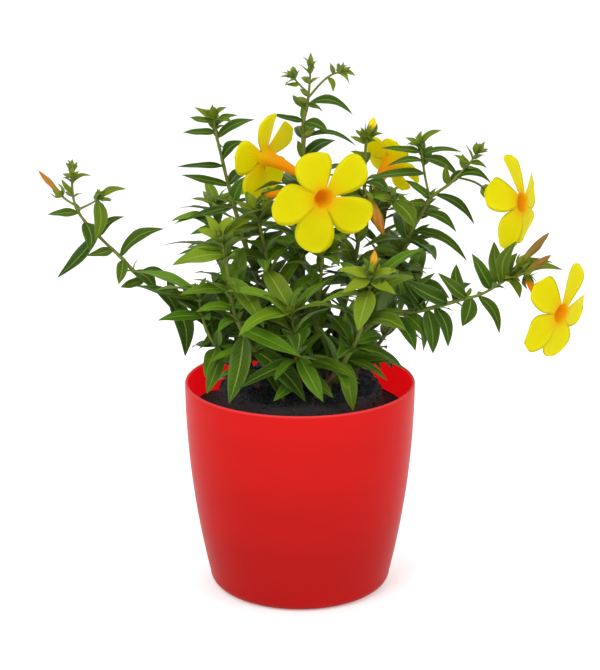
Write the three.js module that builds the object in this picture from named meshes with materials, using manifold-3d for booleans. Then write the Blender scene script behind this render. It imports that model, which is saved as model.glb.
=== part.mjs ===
// Potted allamanda: a red plastic pot filled with soil, leafy stems that stand in holes in the soil,
// yellow funnel-shaped blooms and coloured buds. Millimetres, +Z up, origin at the middle of the pot's base.
import * as THREE from "three";
import { mergeVertices } from "three/addons/utils/BufferGeometryUtils.js";
import Module from "manifold-3d";

// Driving dimensions of the pot and soil
const POT_HEIGHT = 184;
const RIM_RADIUS = 99.5;
const WALL_TAPER = 22.3;
const WALL = 2.5;
const FLOOR = 3;
const FOOT_RADIUS = 69.5;
const FOOT_EDGE = 10;
const FLOOR_RADIUS = 68.5;
const RIM_BEVEL = 0.8;
const RIM_INNER_BEVEL = 0.6;
const POT_SIDES = 36;
const WALL_RINGS = [10, 34, 70, 120, 182];
const DRAIN_HOLES = 4;
const DRAIN_RADIUS = 5;
const DRAIN_CIRCLE = 38;
const DRAIN_SIDES = 10;
const GAP = 0.35;
const FACET_ROOM = 0.3;
const SOIL_SIDES = 28;
const SOIL_FOOT_RADIUS = 67.3;
const SOIL_EDGE_HEIGHT = 155;
const SOIL_RINGS = [84, 76, 68, 46, 24];
const MOUND_RADIUS = 77;
const MOUND_SLOPE = 10;
const MOUND_HEIGHT = 181;
const CLOD_HEIGHT = 1.6;
const CLUMP_HEIGHT = 1.3;
const CLOD_FADE = 0.45;
const STEM_FOOT_HEIGHT = 166;
const STEM_HOLE_LENGTH = 60;

// Driving dimensions of the plant
const STEM_SIDES = 4;
const RIB = 1.4;
const FOLD = 0.22;
const YOUNG_LEAF = 31;
const LARGE_LEAF = 54;
const FOOT_THICKNESS = 1.2;
const FOOT_SHARE = 0.24;
const OWN_ROOM = 0.15;
const SMALL_BUD = { slimness: 0.17, waist: 0.45, sides: 4 };
const PEDICEL_RADIUS = 1;
const PEDICEL_OVERLAP = 0.7;
const PEDICEL_BEND = 0.35;
const TIP_SHARE = 0.1;
const WHORL = { twist: 52, jitter: 16, tilt: [54, 82], share: [0.78, 1.18], roll: 18, arch: [0.05, 0.14] };
const WHORL_DROOP = 0.22;
const CALYX = { length: 6.5, radius: 3.8, bore: 3.1, depth: 3, sides: 6 };
const TUBE_BASE_RADIUS = 2;
const TUBE_WAIST_RADIUS = 3.8;
const TUBE_WAIST_PLACE = 0.35;
const BELL_RADIUS = 5.2;
const THROAT_RADIUS = 9;
const THROAT_DEPTH = 14;
const PIT_DEPTH = 11;
const PETAL = 0.8;
const LOBES = 5;
const TUBE_SIDES = 2 * LOBES;
const THROAT_SIDES = 4 * LOBES;
const LOBE_STEPS = [-1, -0.5, 0, 0.5, 1];
const LOBE_SWAY = 5;
const LOBE_ROUNDING = 0.3;
const LOBE_CUP = 0.14;
const LOBE_CURL = 10;
const SEED = 20731;

const POT_RED = 0xc8202a;
const SOIL_BLACK = 0x14120f;
const GREEN = 0x3d5a1c;
const PALE_GREEN = 0x5f8a24;
const YELLOW = 0xf0dc00;

const UP = new THREE.Vector3(0, 0, 1);
const wasm = await Module();
wasm.setup();

const vector = (list) => new THREE.Vector3(...list);
const radians = THREE.MathUtils.degToRad;

// A repeatable draw between low and high.
let state = SEED;
function draw(low, high) {
  state = (state * 16807) % 2147483647;
  return low + ((high - low) * state) / 2147483647;
}

// A closed solid from corner points and triangles of their numbers.
function solidFrom(points, faces) {
  const vertProperties = new Float32Array(points.flatMap((p) => [p.x, p.y, p.z]));
  const triVerts = new Uint32Array(faces.flat());
  return new wasm.Manifold(new wasm.Mesh({ numProp: 3, vertProperties, triVerts }));
}

// A closed solid from a three.js geometry, with its seams merged.
function solidOf(geometry) {
  const bare = geometry.clone();
  bare.deleteAttribute("normal");
  bare.deleteAttribute("uv");
  const merged = mergeVertices(bare, 1e-3);
  const at = merged.getAttribute("position");
  const points = [];
  for (let i = 0; i < at.count; i++) points.push(new THREE.Vector3().fromBufferAttribute(at, i));
  const faces = [];
  for (let i = 0; i < merged.index.count; i += 3) {
    const [a, b, c] = [0, 1, 2].map((k) => merged.index.getX(i + k));
    if (a !== b && b !== c && c !== a) faces.push([a, b, c]);
  }
  return solidFrom(points, faces);
}

// A lathe about +Z from a profile of [radius, height] pairs that starts and ends on the axis.
function turned(profile, sides) {
  const outline = profile.map(([radius, height]) => new THREE.Vector2(radius, height));
  return new THREE.LatheGeometry(outline, sides).rotateX(Math.PI / 2);
}

// Moves a geometry whose axis is +Z to start at a point and run along a direction.
function aimed(geometry, start, direction) {
  const turn = new THREE.Quaternion().setFromUnitVectors(UP, direction.clone().normalize());
  return geometry.applyQuaternion(turn).translate(start.x, start.y, start.z);
}

// A tapered round stem through the points, with flat ends.
function tube(points, radii, sides) {
  const along = points.map((p, i) => {
    const before = points[Math.max(i - 1, 0)];
    const after = points[Math.min(i + 1, points.length - 1)];
    return after.clone().sub(before).normalize();
  });
  let side = Math.abs(along[0].y) < 0.8 ? new THREE.Vector3(0, 1, 0) : new THREE.Vector3(1, 0, 0);
  const corners = [];
  points.forEach((p, i) => {
    side = side.clone().addScaledVector(along[i], -side.dot(along[i])).normalize();
    const other = along[i].clone().cross(side);
    for (let k = 0; k < sides; k++) {
      const angle = (2 * Math.PI * k) / sides;
      const offset = side.clone().multiplyScalar(Math.cos(angle)).addScaledVector(other, Math.sin(angle));
      corners.push(p.clone().addScaledVector(offset, radii[i]));
    }
  });
  const faces = [];
  const last = (points.length - 1) * sides;
  for (let i = 0; i < points.length - 1; i++)
    for (let k = 0; k < sides; k++) {
      const [a, b] = [i * sides + k, i * sides + ((k + 1) % sides)];
      faces.push([a, b, b + sides], [a, b + sides, a + sides]);
    }
  for (let k = 1; k < sides - 1; k++) faces.push([0, k + 1, k], [last, last + k, last + k + 1]);
  return solidFrom(corners, faces);
}

// Pot and soil

// The outer radius of the wall, straight between its rings.
function wallRadius(height) {
  const curve = (z) => RIM_RADIUS - WALL_TAPER * (1 - z / POT_HEIGHT) ** 2;
  const i = Math.max(WALL_RINGS.findLastIndex((ring) => ring <= height), 0);
  const [low, high] = [WALL_RINGS[i], WALL_RINGS[i + 1] ?? POT_HEIGHT];
  return THREE.MathUtils.mapLinear(height, low, high, curve(low), curve(high));
}

function potShape() {
  const profile = [[0, 0]];
  for (const angle of [0, 45, 90])
    profile.push([
      FOOT_RADIUS + FOOT_EDGE * Math.sin(radians(angle)),
      FOOT_EDGE * (1 - Math.cos(radians(angle))),
    ]);
  for (const height of WALL_RINGS.slice(1)) profile.push([wallRadius(height), height]);
  profile.push([RIM_RADIUS - RIM_BEVEL, POT_HEIGHT], [RIM_RADIUS - WALL + RIM_INNER_BEVEL, POT_HEIGHT]);
  for (const height of WALL_RINGS.toReversed()) profile.push([wallRadius(height) - WALL, height]);
  profile.push([FLOOR_RADIUS, FLOOR], [0, FLOOR]);
  let pot = solidOf(turned(profile, POT_SIDES));
  for (let k = 0; k < DRAIN_HOLES; k++) {
    const angle = (2 * Math.PI * (k + 0.5)) / DRAIN_HOLES;
    const drill = new THREE.CylinderGeometry(DRAIN_RADIUS, DRAIN_RADIUS, 4 * FLOOR, DRAIN_SIDES);
    drill.rotateX(Math.PI / 2);
    drill.translate(DRAIN_CIRCLE * Math.cos(angle), DRAIN_CIRCLE * Math.sin(angle), 0);
    pot = pot.subtract(solidOf(drill));
  }
  return pot;
}

// Height of the soil's surface, with clods that fade out towards the wall.
function soilHeight(x, y) {
  const radius = Math.hypot(x, y);
  const rise = THREE.MathUtils.smoothstep(MOUND_RADIUS - radius, 0, MOUND_SLOPE);
  const clod = CLOD_HEIGHT * Math.sin(x / 8.5 + 1.3 * Math.sin(y / 11));
  const clump = CLUMP_HEIGHT * Math.sin(y / 7.3 + x / 19);
  const fade = 1 - CLOD_FADE * (1 - rise);
  return SOIL_EDGE_HEIGHT + (MOUND_HEIGHT - SOIL_EDGE_HEIGHT) * rise + (clod + clump) * fade;
}

function soilShape(feet) {
  const clear = WALL + GAP + FACET_ROOM;
  const profile = [
    [0, FLOOR + GAP],
    [SOIL_FOOT_RADIUS, FLOOR + GAP],
  ];
  for (const height of [...WALL_RINGS.slice(0, -1), SOIL_EDGE_HEIGHT])
    profile.push([wallRadius(height) - clear, height]);
  for (const radius of SOIL_RINGS) profile.push([radius, SOIL_EDGE_HEIGHT]);
  profile.push([0, SOIL_EDGE_HEIGHT]);
  const body = turned(profile, SOIL_SIDES);
  const at = body.getAttribute("position");
  for (let i = 0; i < at.count; i++)
    if (at.getZ(i) > SOIL_EDGE_HEIGHT - 1) at.setZ(i, soilHeight(at.getX(i), at.getY(i)));
  let soil = solidOf(body);
  for (const { x, y, radius } of feet) {
    const bore = (radius + GAP) / Math.cos(Math.PI / STEM_SIDES);
    const hole = new THREE.CylinderGeometry(bore, bore, STEM_HOLE_LENGTH, STEM_SIDES);
    hole.rotateX(Math.PI / 2);
    hole.translate(x, y, STEM_FOOT_HEIGHT - GAP + STEM_HOLE_LENGTH / 2);
    soil = soil.subtract(solidOf(hole));
  }
  return soil;
}

// Leaves and buds

// A direction given by its turn in the X-Z plane, from +X towards +Z, and how far it leans to -Y.
function heading(turn, forward) {
  const flat = Math.cos(radians(forward));
  return new THREE.Vector3(
    flat * Math.cos(radians(turn)),
    -Math.sin(radians(forward)),
    flat * Math.sin(radians(turn)),
  );
}

// A leaf's stations: how far along it each lies, with its half width as a share of the greatest.
const YOUNG_STATIONS = [[0.45, 1]];
const SMALL_STATIONS = [
  [0.33, 0.98],
  [0.66, 0.84],
];
const LARGE_STATIONS = [
  [0.2, 0.76],
  [0.48, 1],
  [0.77, 0.6],
];

function stationsOf(length) {
  if (length < YOUNG_LEAF) return YOUNG_STATIONS;
  return length < LARGE_LEAF ? SMALL_STATIONS : LARGE_STATIONS;
}

// A folded, arched blade with a rib, from its foot inside the stem to its tip. grow widens it on every side.
function blade(leaf, grow = 0, begin = 0) {
  const { foot, direction, length, width, arch, facing, roll } = leaf;
  const across = direction.clone().cross(facing).normalize();
  const lift = across.clone().cross(direction);
  const side = across.clone().multiplyScalar(Math.cos(roll)).addScaledVector(lift, Math.sin(roll));
  const face = side.clone().cross(direction);
  const centre = (t) =>
    foot
      .clone()
      .addScaledVector(direction, length * t)
      .addScaledVector(lift, 4 * arch * length * t * (1 - t));
  const start = centre(begin);
  const thick = FOOT_THICKNESS / 2 + grow;
  const half = RIB / 2 + grow;
  const corners = [start.clone().addScaledVector(face, thick), start.clone().addScaledVector(face, -thick)];
  for (const [t, share] of stationsOf(length)) {
    const reach = (share * width) / 2;
    const edge = centre(t).addScaledVector(face, FOLD * reach);
    corners.push(
      edge.clone().addScaledVector(side, -reach - grow),
      centre(t).addScaledVector(face, half),
      edge.clone().addScaledVector(side, reach + grow),
      centre(t).addScaledVector(face, -half),
    );
  }
  corners.push(centre(1).addScaledVector(direction, 2 * grow));
  const tip = corners.length - 1;
  const faces = [
    [0, 3, 2],
    [0, 4, 3],
    [1, 2, 5],
    [1, 5, 4],
    [0, 2, 1],
    [0, 1, 4],
  ];
  for (let i = 2; i < tip - 4; i += 4) {
    const [left, rib, right, keel] = [i, i + 1, i + 2, i + 3];
    faces.push([left, rib, rib + 4], [left, rib + 4, left + 4], [rib, right, rib + 4]);
    faces.push([right, right + 4, rib + 4], [left, keel + 4, keel], [left, left + 4, keel + 4]);
    faces.push([keel, keel + 4, right], [right, keel + 4, right + 4]);
  }
  const end = tip - 4;
  faces.push([end, end + 1, tip], [end + 1, end + 2, tip], [end, tip, end + 3], [end + 3, tip, end + 2]);
  return solidFrom(corners, faces);
}

// A small four-sided pointed bud or leaf tip.
function smallBud(start, direction, length) {
  const profile = [
    [0, 0],
    [SMALL_BUD.slimness * length, SMALL_BUD.waist * length],
    [0, length],
  ];
  return solidOf(aimed(turned(profile, SMALL_BUD.sides), start, direction));
}

// A coloured flower bud that stands in its calyx.
function flowerBud({ start, direction, length, radius }) {
  const profile = [
    [0, GAP],
    [TUBE_BASE_RADIUS, GAP],
    [0.75 * radius, 0.25 * length],
    [radius, 0.55 * length],
    [0.5 * radius, 0.85 * length],
    [0, length],
  ];
  return solidOf(aimed(turned(profile, CALYX.sides), start, direction));
}

// The green cup that carries a bloom or a flower bud. Its seat is at start.
function calyxCup(start, direction) {
  const { length, radius, bore, depth, sides } = CALYX;
  const profile = [
    [0, depth - length],
    [0.5 * radius, depth - length + 0.6],
    [radius, depth],
    [bore, depth],
    [bore - 0.1, 0],
    [0, 0],
  ];
  return solidOf(aimed(turned(profile, sides), start, direction));
}

// Blooms

// The rows of a lobe past the throat: how far out each lies, with its half width as a share of the greatest.
const LOBE_ROWS = [
  [0.58, 1],
  [1, 0.7],
];

// How far a point of a lobe goes out from the throat, sideways and forwards, for s across from -1 to 1.
function lobePoint([t, share], s, length, width) {
  return {
    out: length * t * (1 - LOBE_ROUNDING * t * s * s),
    aside: (s * share * width) / 2,
    rise: LOBE_CUP * t * s * s * width,
  };
}

// The middle of a bloom's section, with its axis and the section's own upward and sideways directions.
function sectionAt(curve, t) {
  const axis = curve.getTangent(t).normalize();
  const up = UP.clone().addScaledVector(axis, -axis.z).normalize();
  return { centre: curve.getPoint(t), axis, up, right: up.clone().cross(axis) };
}

// A bloom: a curved tube, a bell throat and five lobes, all one shell. It faces along its axis' end.
function bloomShape(bloom) {
  const { start, bend, throat, spin, length, width, spread } = bloom;
  const curve = new THREE.QuadraticBezierCurve3(vector(start), vector(bend), vector(throat));
  const corners = [];
  const faces = [];
  const ring = (t, radius, count, shift = 0) => {
    const first = corners.length;
    const { centre, axis, up, right } = sectionAt(curve, t);
    for (let k = 0; k < count; k++) {
      const angle = radians(spin - 180 / LOBES) + (2 * Math.PI * k) / count;
      corners.push(
        centre
          .clone()
          .addScaledVector(right, radius * Math.cos(angle))
          .addScaledVector(up, radius * Math.sin(angle))
          .addScaledVector(axis, shift),
      );
    }
    return first;
  };
  const strip = (a, b, count) => {
    for (let k = 0; k < count; k++) {
      const n = (k + 1) % count;
      faces.push([a + k, a + n, b + n], [a + k, b + n, b + k]);
    }
  };
  // A throat ring has twice the corners of a tube ring, so each gap of the tube ring meets two of its own.
  const widen = (a, b, out) => {
    for (let k = 0; k < TUBE_SIDES; k++) {
      const n = (k + 1) % TUBE_SIDES;
      const fan = [
        [a + k, b + 2 * k + 1, b + 2 * k],
        [a + k, a + n, b + 2 * k + 1],
        [a + n, b + ((2 * k + 2) % THROAT_SIDES), b + 2 * k + 1],
      ];
      faces.push(...(out ? fan : fan.map((f) => f.toReversed())));
    }
  };
  const path = curve.getLength();
  const base = ring(GAP / path, TUBE_BASE_RADIUS, TUBE_SIDES);
  const waist = ring(TUBE_WAIST_PLACE, TUBE_WAIST_RADIUS, TUBE_SIDES);
  const bell = ring(1 - THROAT_DEPTH / path, BELL_RADIUS, TUBE_SIDES);
  for (let k = 1; k < TUBE_SIDES - 1; k++) faces.push([base, base + k + 1, base + k]);
  strip(base, waist, TUBE_SIDES);
  strip(waist, bell, TUBE_SIDES);
  const inner = ring(1 - PIT_DEPTH / path, BELL_RADIUS - PETAL, TUBE_SIDES);
  const pit = corners.length;
  corners.push(curve.getPoint(1 - THROAT_DEPTH / path));
  for (let k = 0; k < TUBE_SIDES; k++) faces.push([pit, inner + k, inner + ((k + 1) % TUBE_SIDES)]);
  const back = ring(1, THROAT_RADIUS, THROAT_SIDES, -PETAL / 2);
  const front = ring(1, THROAT_RADIUS - PETAL / 3, THROAT_SIDES, PETAL / 2);
  widen(bell, back, true);
  widen(inner, front, false);
  const { centre, axis, up, right } = sectionAt(curve, 1);
  for (let lobe = 0; lobe < LOBES; lobe++) {
    const middle = radians(spin) + (2 * Math.PI * lobe) / LOBES;
    const outward = right.clone().multiplyScalar(Math.cos(middle)).addScaledVector(up, Math.sin(middle));
    const sideways = up.clone().multiplyScalar(Math.cos(middle)).addScaledVector(right, -Math.sin(middle));
    const open = radians(spread + LOBE_SWAY * Math.sin(2.4 * lobe + spin));
    const root = (THROAT_SIDES / LOBES) * lobe;
    const rows = [LOBE_STEPS.map((s, j) => [back, front].map((f) => f + ((root + j) % THROAT_SIDES)))];
    for (const row of LOBE_ROWS)
      rows.push(
        LOBE_STEPS.map((s) => {
          const { out, aside, rise } = lobePoint(row, s, length, width);
          const tilt = open + radians(LOBE_CURL) * row[0];
          const place = centre
            .clone()
            .addScaledVector(outward, THROAT_RADIUS + out * Math.sin(tilt))
            .addScaledVector(axis, out * Math.cos(open) + rise)
            .addScaledVector(sideways, aside);
          const normal = axis
            .clone()
            .multiplyScalar(Math.sin(tilt))
            .addScaledVector(outward, -Math.cos(tilt))
            .multiplyScalar(PETAL / 2);
          corners.push(place.clone().sub(normal), place.clone().add(normal));
          return [corners.length - 2, corners.length - 1];
        }),
      );
    for (let i = 0; i < 2; i++)
      for (let j = 0; j < 4; j++) {
        const [a, b, c, d] = [rows[i][j], rows[i][j + 1], rows[i + 1][j + 1], rows[i + 1][j]];
        faces.push([a[1], c[1], b[1]], [a[1], d[1], c[1]], [a[0], b[0], c[0]], [a[0], c[0], d[0]]);
      }
    for (let i = 0; i < 2; i++) {
      const [a, b, c, d] = [rows[i][0], rows[i + 1][0], rows[i][4], rows[i + 1][4]];
      faces.push([a[0], b[1], a[1]], [a[0], b[0], b[1]], [c[0], c[1], d[1]], [c[0], d[1], d[0]]);
    }
    for (let j = 0; j < 4; j++) {
      const [a, b] = [rows[2][j], rows[2][j + 1]];
      faces.push([a[0], b[1], a[1]], [a[0], b[0], b[1]]);
    }
  }
  return solidFrom(corners, faces);
}

// The plant. A stem's points go from the soil's surface to its tip. An axis with from grows out of the
// first axis at that point number. A leaf is [point number, turn, forward, length, width, arch], whorls
// are [first point, last point, rows, leaves in a row, length, width], a small bud is [point number, turn,
// forward, length] and a seat is where a calyx stands, with the way it looks.
const PLANT = [
  {
    name: "stem_left",
    axes: [
      {
        points: [
          [-22, -8, 188],
          [-36, -14, 224],
          [-60, -16, 244],
          [-88, -12, 251],
          [-106, -11, 259],
          [-124, -12, 271],
          [-138, -14, 282],
          [-150, -15, 296],
          [-165, -15, 311],
          [-181, -15, 329],
          [-188, -15, 343],
          [-190, -12, 358],
          [-189, -10, 372],
        ],
        radius: [2.8, 1.1],
        leaves: [
          [9.4, 180, 10, 27, 9, 0.1],
          [10.6, 130, 0, 15, 5, 0.1],
          [11, 28, 15, 20, 5, 0.15],
          [8.9, -80, 25, 26, 13, 0.08],
          [8.3, 226, 12, 50, 12, 0.06],
          [7.5, 187, 30, 24, 10, 0.1],
          [8.2, 35, -25, 28, 8, 0.1],
          [7.1, 33, 5, 46, 13, 0.08],
          [6.9, -100, 30, 22, 10, 0.1],
          [6.2, -42, 20, 28, 12, 0.1],
          [5.9, 0, 0, 26, 6, 0.22],
          [5, -54, 10, 36, 11, 0.1],
          [5.5, 195, 10, 22, 10, 0.1],
          [4.2, -76, 12, 54, 16, 0.08],
          [2.3, 182, 35, 30, 10, 0.1],
          [3, 52, 10, 24, 9, 0.12],
          [3.7, 118, -10, 26, 9, 0.1],
        ],
        whorls: [[0.7, 2.6, 3, 2, 42, 14]],
        buds: [
          [12, 95, 10, 9],
          [12, 60, 0, 8],
          [12, 132, 10, 9],
          [11.5, 160, 20, 9],
        ],
      },
      {
        from: 9.6,
        points: [
          [-177, -17, 342],
          [-167, -20, 348],
        ],
        radius: [1.2, 1],
        leaves: [
          [1.9, -95, 10, 34, 12, 0.06],
          [2, 22, 10, 27, 8, 0.1],
        ],
      },
    ],
    seats: [{ from: 9.9, seat: [-199, -20, 352], aim: [-16, -5, 20], bud: "bud_left" }],
  },
  {
    name: "stem_tall_left",
    axes: [
      {
        points: [
          [-12, 14, 188],
          [-24, 12, 236],
          [-42, 6, 288],
          [-54, 5, 330],
          [-61, 8, 356],
          [-67, 10, 382],
          [-71, 10, 400],
          [-72, 10, 412],
        ],
        radius: [2.8, 1.1],
        leaves: [
          [5.9, 178, 10, 28, 8, 0.1],
          [4.7, 43, 10, 26, 12, 0.1],
          [4.5, 177, 15, 41, 7, 0.18],
          [3.9, 165, 10, 42, 9, 0.1],
          [3.3, 68, 10, 27, 12, 0.08],
          [3.2, 191, 15, 42, 9, 0.1],
          [2.7, 188, 0, 44, 11, 0.1],
          [6.2, 28, 0, 22, 7, 0.1],
          [5.6, 25, -15, 36, 10, 0.1],
          [7, 150, 10, 19, 7, 0.1],
          [6.9, 100, 30, 15, 6, 0.1],
          [6.8, 45, 15, 15, 6, 0.1],
          [6.6, 172, -15, 22, 7, 0.1],
          [6.5, 10, 30, 18, 7, 0.1],
          [5.2, -60, -60, 26, 10, 0.1],
          [3.9, 20, -55, 34, 11, 0.1],
        ],
        whorls: [[0.6, 2.4, 4, 3, 48, 16]],
        buds: [
          [7, 88, 15, 10],
          [7, 128, -10, 9],
        ],
      },
    ],
  },
  {
    name: "stem_front_left",
    axes: [
      {
        points: [
          [-16, -36, 188],
          [-30, -52, 214],
          [-44, -60, 238],
          [-54, -62, 262],
          [-58, -62, 286],
          [-62, -60, 312],
          [-65, -58, 326],
        ],
        radius: [2.6, 1.2],
        leaves: [
          [4.9, 188, 10, 44, 16, 0.12],
          [3.8, 183, 10, 42, 11, 0.1],
          [4.2, -51, 25, 52, 16, 0.08],
          [3.1, 178, 20, 33, 10, 0.12],
          [2.2, -103, 13, 60, 18, 0.05],
          [2.4, -19, 25, 58, 15, 0.1],
          [1.6, -44, 12, 62, 19, 0.06],
          [1, -61, 15, 36, 12, 0.08],
          [6, 122, 0, 22, 9, 0.1],
          [6, 60, 20, 24, 9, 0.1],
          [5.9, 28, -10, 29, 11, 0.1],
          [5.8, 162, -20, 22, 9, 0.1],
          [4.6, 60, 50, 26, 12, 0.1],
          [3.2, 20, 60, 30, 13, 0.1],
        ],
        whorls: [[1.4, 5.2, 4, 2, 36, 12]],
        buds: [
          [6, 90, 0, 11],
          [6, 105, 40, 10],
        ],
      },
    ],
  },
  {
    name: "stem_top",
    axes: [
      {
        points: [
          [2, 22, 188],
          [2, 26, 250],
          [3, 26, 320],
          [3, 25, 382],
          [3, 25, 404],
          [6, 25, 418],
          [8, 25, 436],
          [9, 25, 453],
        ],
        steps: 2,
        radius: [2.8, 1],
        leaves: [
          [5.1, -12, 10, 40, 10, 0.22],
          [5, -25, -25, 16, 6, 0.1],
          [4, -20, 20, 24, 11, 0.1],
          [4.05, 165, 10, 29, 7, 0.1],
          [3.25, -3, 20, 48, 6, 0.15],
          [3.2, 160, -40, 34, 11, 0.1],
          [2.8, 25, -40, 40, 12, 0.1],
          [4.8, 140, -40, 20, 7, 0.1],
        ],
        whorls: [[0.4, 2.4, 4, 3, 50, 17]],
        buds: [
          [7, 90, 0, 11],
          [5.5, 140, 10, 10],
          [5.2, 155, 25, 13],
          [3.3, 35, 30, 14],
        ],
      },
      {
        from: 5.4,
        points: [
          [18, 24, 438],
          [27, 23, 445],
          [35, 23, 447],
        ],
        radius: [1.1, 0.9],
        leaves: [
          [3, -8, 20, 13, 5, 0.1],
          [1.6, -70, 20, 13, 5, 0.1],
        ],
        buds: [
          [3, 75, 0, 9],
          [3, 30, 10, 10],
          [2.2, 110, 10, 10],
        ],
      },
      {
        from: 5.6,
        points: [
          [1, 23, 435],
          [-6, 22, 443],
        ],
        radius: [1, 0.9],
        leaves: [[1.2, 178, 10, 12, 5, 0.1]],
        buds: [
          [2, 130, 10, 9],
        ],
      },
    ],
    seats: [{ from: 2.45, seat: [3, -6, 363], bloom: "bloom_left" }],
  },
  {
    name: "stem_mid_right",
    axes: [
      {
        points: [
          [22, 10, 188],
          [36, 12, 238],
          [48, 12, 292],
          [54, 10, 346],
          [55, 10, 384],
          [57, 10, 394],
        ],
        steps: 2,
        radius: [2.8, 1.1],
        leaves: [
          [4.3, 152, 10, 16, 6, 0.1],
          [3.8, 155, 20, 15, 6, 0.1],
          [5, 150, -20, 13, 5, 0.1],
          [4.8, 20, 10, 14, 5, 0.1],
          [4.9, 65, -40, 13, 5, 0.1],
          [4.9, 120, 20, 12, 5, 0.1],
          [3.5, 175, 40, 26, 10, 0.1],
          [3.2, -10, 50, 30, 12, 0.1],
          [3.6, 10, -40, 34, 11, 0.1],
        ],
        whorls: [[0.6, 2.9, 3, 3, 50, 17]],
      },
    ],
    seats: [
      { from: 3.1, seat: [57, -2, 347], aim: [10, -7, -24], bud: "bud_orange_drooping" },
      { from: 3.1, seat: [63, 8, 347], bloom: "bloom_behind" },
      { from: 5, seat: [59, 8, 399], aim: [3, -3, 14], bud: "bud_yellow_top" },
    ],
  },
  {
    name: "stem_right_upper",
    axes: [
      {
        points: [
          [32, -2, 188],
          [54, 4, 228],
          [76, 8, 270],
          [91, 5, 305],
          [97, 1, 321],
          [103, -1, 332],
          [109, -5, 345],
          [124, -10, 358],
          [130, -10, 364],
          [141, -10, 376],
          [149, -10, 387],
        ],
        radius: [2.8, 1],
        leaves: [
          [6, 142, 10, 28, 9, 0.1],
          [5.7, 176, 20, 20, 8, 0.1],
          [8, -8, 10, 30, 9, 0.22],
          [6.3, -37, 10, 42, 9, 0.08],
          [5, -27, 20, 34, 10, 0.1],
          [3.6, -27, 10, 54, 10, 0.1],
          [3.1, -25, 35, 30, 10, 0.1],
          [7, 100, 10, 19, 7, 0.1],
          [7.1, 20, -40, 26, 8, 0.1],
          [9, 150, 10, 16, 6, 0.1],
          [9, -18, -10, 16, 6, 0.1],
          [9.6, 70, 20, 12, 5, 0.1],
          [4.4, 10, -50, 34, 11, 0.1],
          [2.6, 150, 40, 36, 12, 0.1],
        ],
        whorls: [[0.6, 3, 4, 3, 47, 16]],
        buds: [
          [10, 60, 0, 10],
          [10, 105, 10, 9],
          [10, 20, 20, 9],
        ],
      },
      {
        from: 6,
        points: [
          [105, -2, 362],
          [102, 0, 380],
          [100, 0, 390],
        ],
        radius: [1.2, 1],
        leaves: [
          [1.2, 181, 20, 52, 10, 0.12],
          [1.7, 176, 38, 40, 8, 0.16],
          [2.3, 170, 16, 36, 8, 0.14],
          [1.9, -27, 10, 35, 11, 0.1],
          [2.1, 5, 5, 34, 6, 0.12],
          [3, 150, 10, 15, 6, 0.1],
          [3, 38, 10, 23, 7, 0.1],
          [3, 85, 0, 13, 5, 0.1],
          [2.6, 110, 50, 14, 6, 0.1],
          [1.5, 60, -50, 26, 9, 0.1],
        ],
      },
      {
        from: 4,
        points: [
          [87, -7, 333],
          [77, -9, 345],
        ],
        radius: [1.2, 1],
        leaves: [
          [1.9, -50, 15, 30, 17, 0.12],
          [2, 165, 20, 20, 8, 0.1],
          [1.2, 20, 45, 20, 9, 0.1],
        ],
        buds: [
          [2, 100, 10, 10],
          [2, 135, 0, 10],
        ],
      },
    ],
    seats: [{ from: 8, seat: [154, -7, 354], bloom: "bloom_right_upper" }],
  },
  {
    name: "stem_right_lower",
    axes: [
      {
        points: [
          [24, -26, 188],
          [44, -34, 228],
          [64, -36, 247],
          [84, -36, 254],
          [102, -38, 257],
          [122, -40, 263],
          [132, -40, 266],
          [150, -40, 271],
          [164, -40, 279],
          [174, -40, 286],
        ],
        radius: [2.8, 1.1],
        leaves: [
          [4.1, 123, 10, 40, 13, 0.08],
          [3.8, 140, 20, 29, 11, 0.1],
          [5.1, 147, 5, 48, 16, 0.1],
          [6.4, 138, 5, 34, 13, 0.08],
          [4.2, -82, 15, 38, 14, 0.06],
          [4.5, -70, 25, 36, 12, 0.08],
          [3.1, -45, 20, 31, 12, 0.1],
          [6.6, -107, 10, 26, 14, 0.08],
          [6.9, -60, 15, 37, 10, 0.1],
          [7.6, 118, 5, 36, 13, 0.08],
          [8.2, 98, -15, 36, 13, 0.1],
          [8.5, 76, 10, 38, 12, 0.1],
          [8.8, 125, 30, 28, 10, 0.1],
          [9, -60, 10, 20, 8, 0.1],
          [9, 10, 5, 46, 11, 0.08],
          [8.9, 27, -15, 42, 9, 0.1],
          [8.7, 62, -30, 26, 9, 0.1],
          [6.2, 100, -35, 32, 11, 0.1],
          [5.6, 30, -50, 30, 10, 0.1],
        ],
        whorls: [[0.6, 3.4, 4, 2, 42, 15]],
        buds: [
          [9, 95, 20, 10],
        ],
      },
    ],
    seats: [
      { from: 9, seat: [182, -42, 298], aim: [25, 6, 26], bud: "bud_right_long" },
      { from: 9, seat: [187, -48, 293], aim: [20, -8, 17], bud: "bud_right_short" },
      { from: 8.9, seat: [189, -32, 283], bloom: "bloom_right_lower" },
    ],
  },
  {
    name: "stem_front_right",
    axes: [
      {
        points: [
          [14, -44, 188],
          [34, -60, 214],
          [48, -68, 244],
          [56, -72, 274],
          [57, -74, 298],
        ],
        radius: [2.6, 1.2],
        leaves: [
          [4, 165, 10, 28, 10, 0.1],
          [4, 15, 10, 24, 9, 0.1],
          [3.8, 200, 25, 27, 11, 0.1],
          [3.7, -20, 25, 25, 10, 0.1],
          [4, 118, 30, 15, 6, 0.1],
          [4, 60, -20, 18, 7, 0.1],
          [3.4, -108, 30, 36, 17, 0.08],
          [1.2, -80, 5, 44, 14, 0.05],
        ],
        whorls: [[0.8, 3.2, 4, 3, 46, 16]],
      },
    ],
    seats: [{ from: 4, seat: [59, -78, 303], aim: [1, -3, 14], bud: "bud_orange_front" }],
  },
  {
    name: "stem_mid_left",
    axes: [
      {
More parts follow.
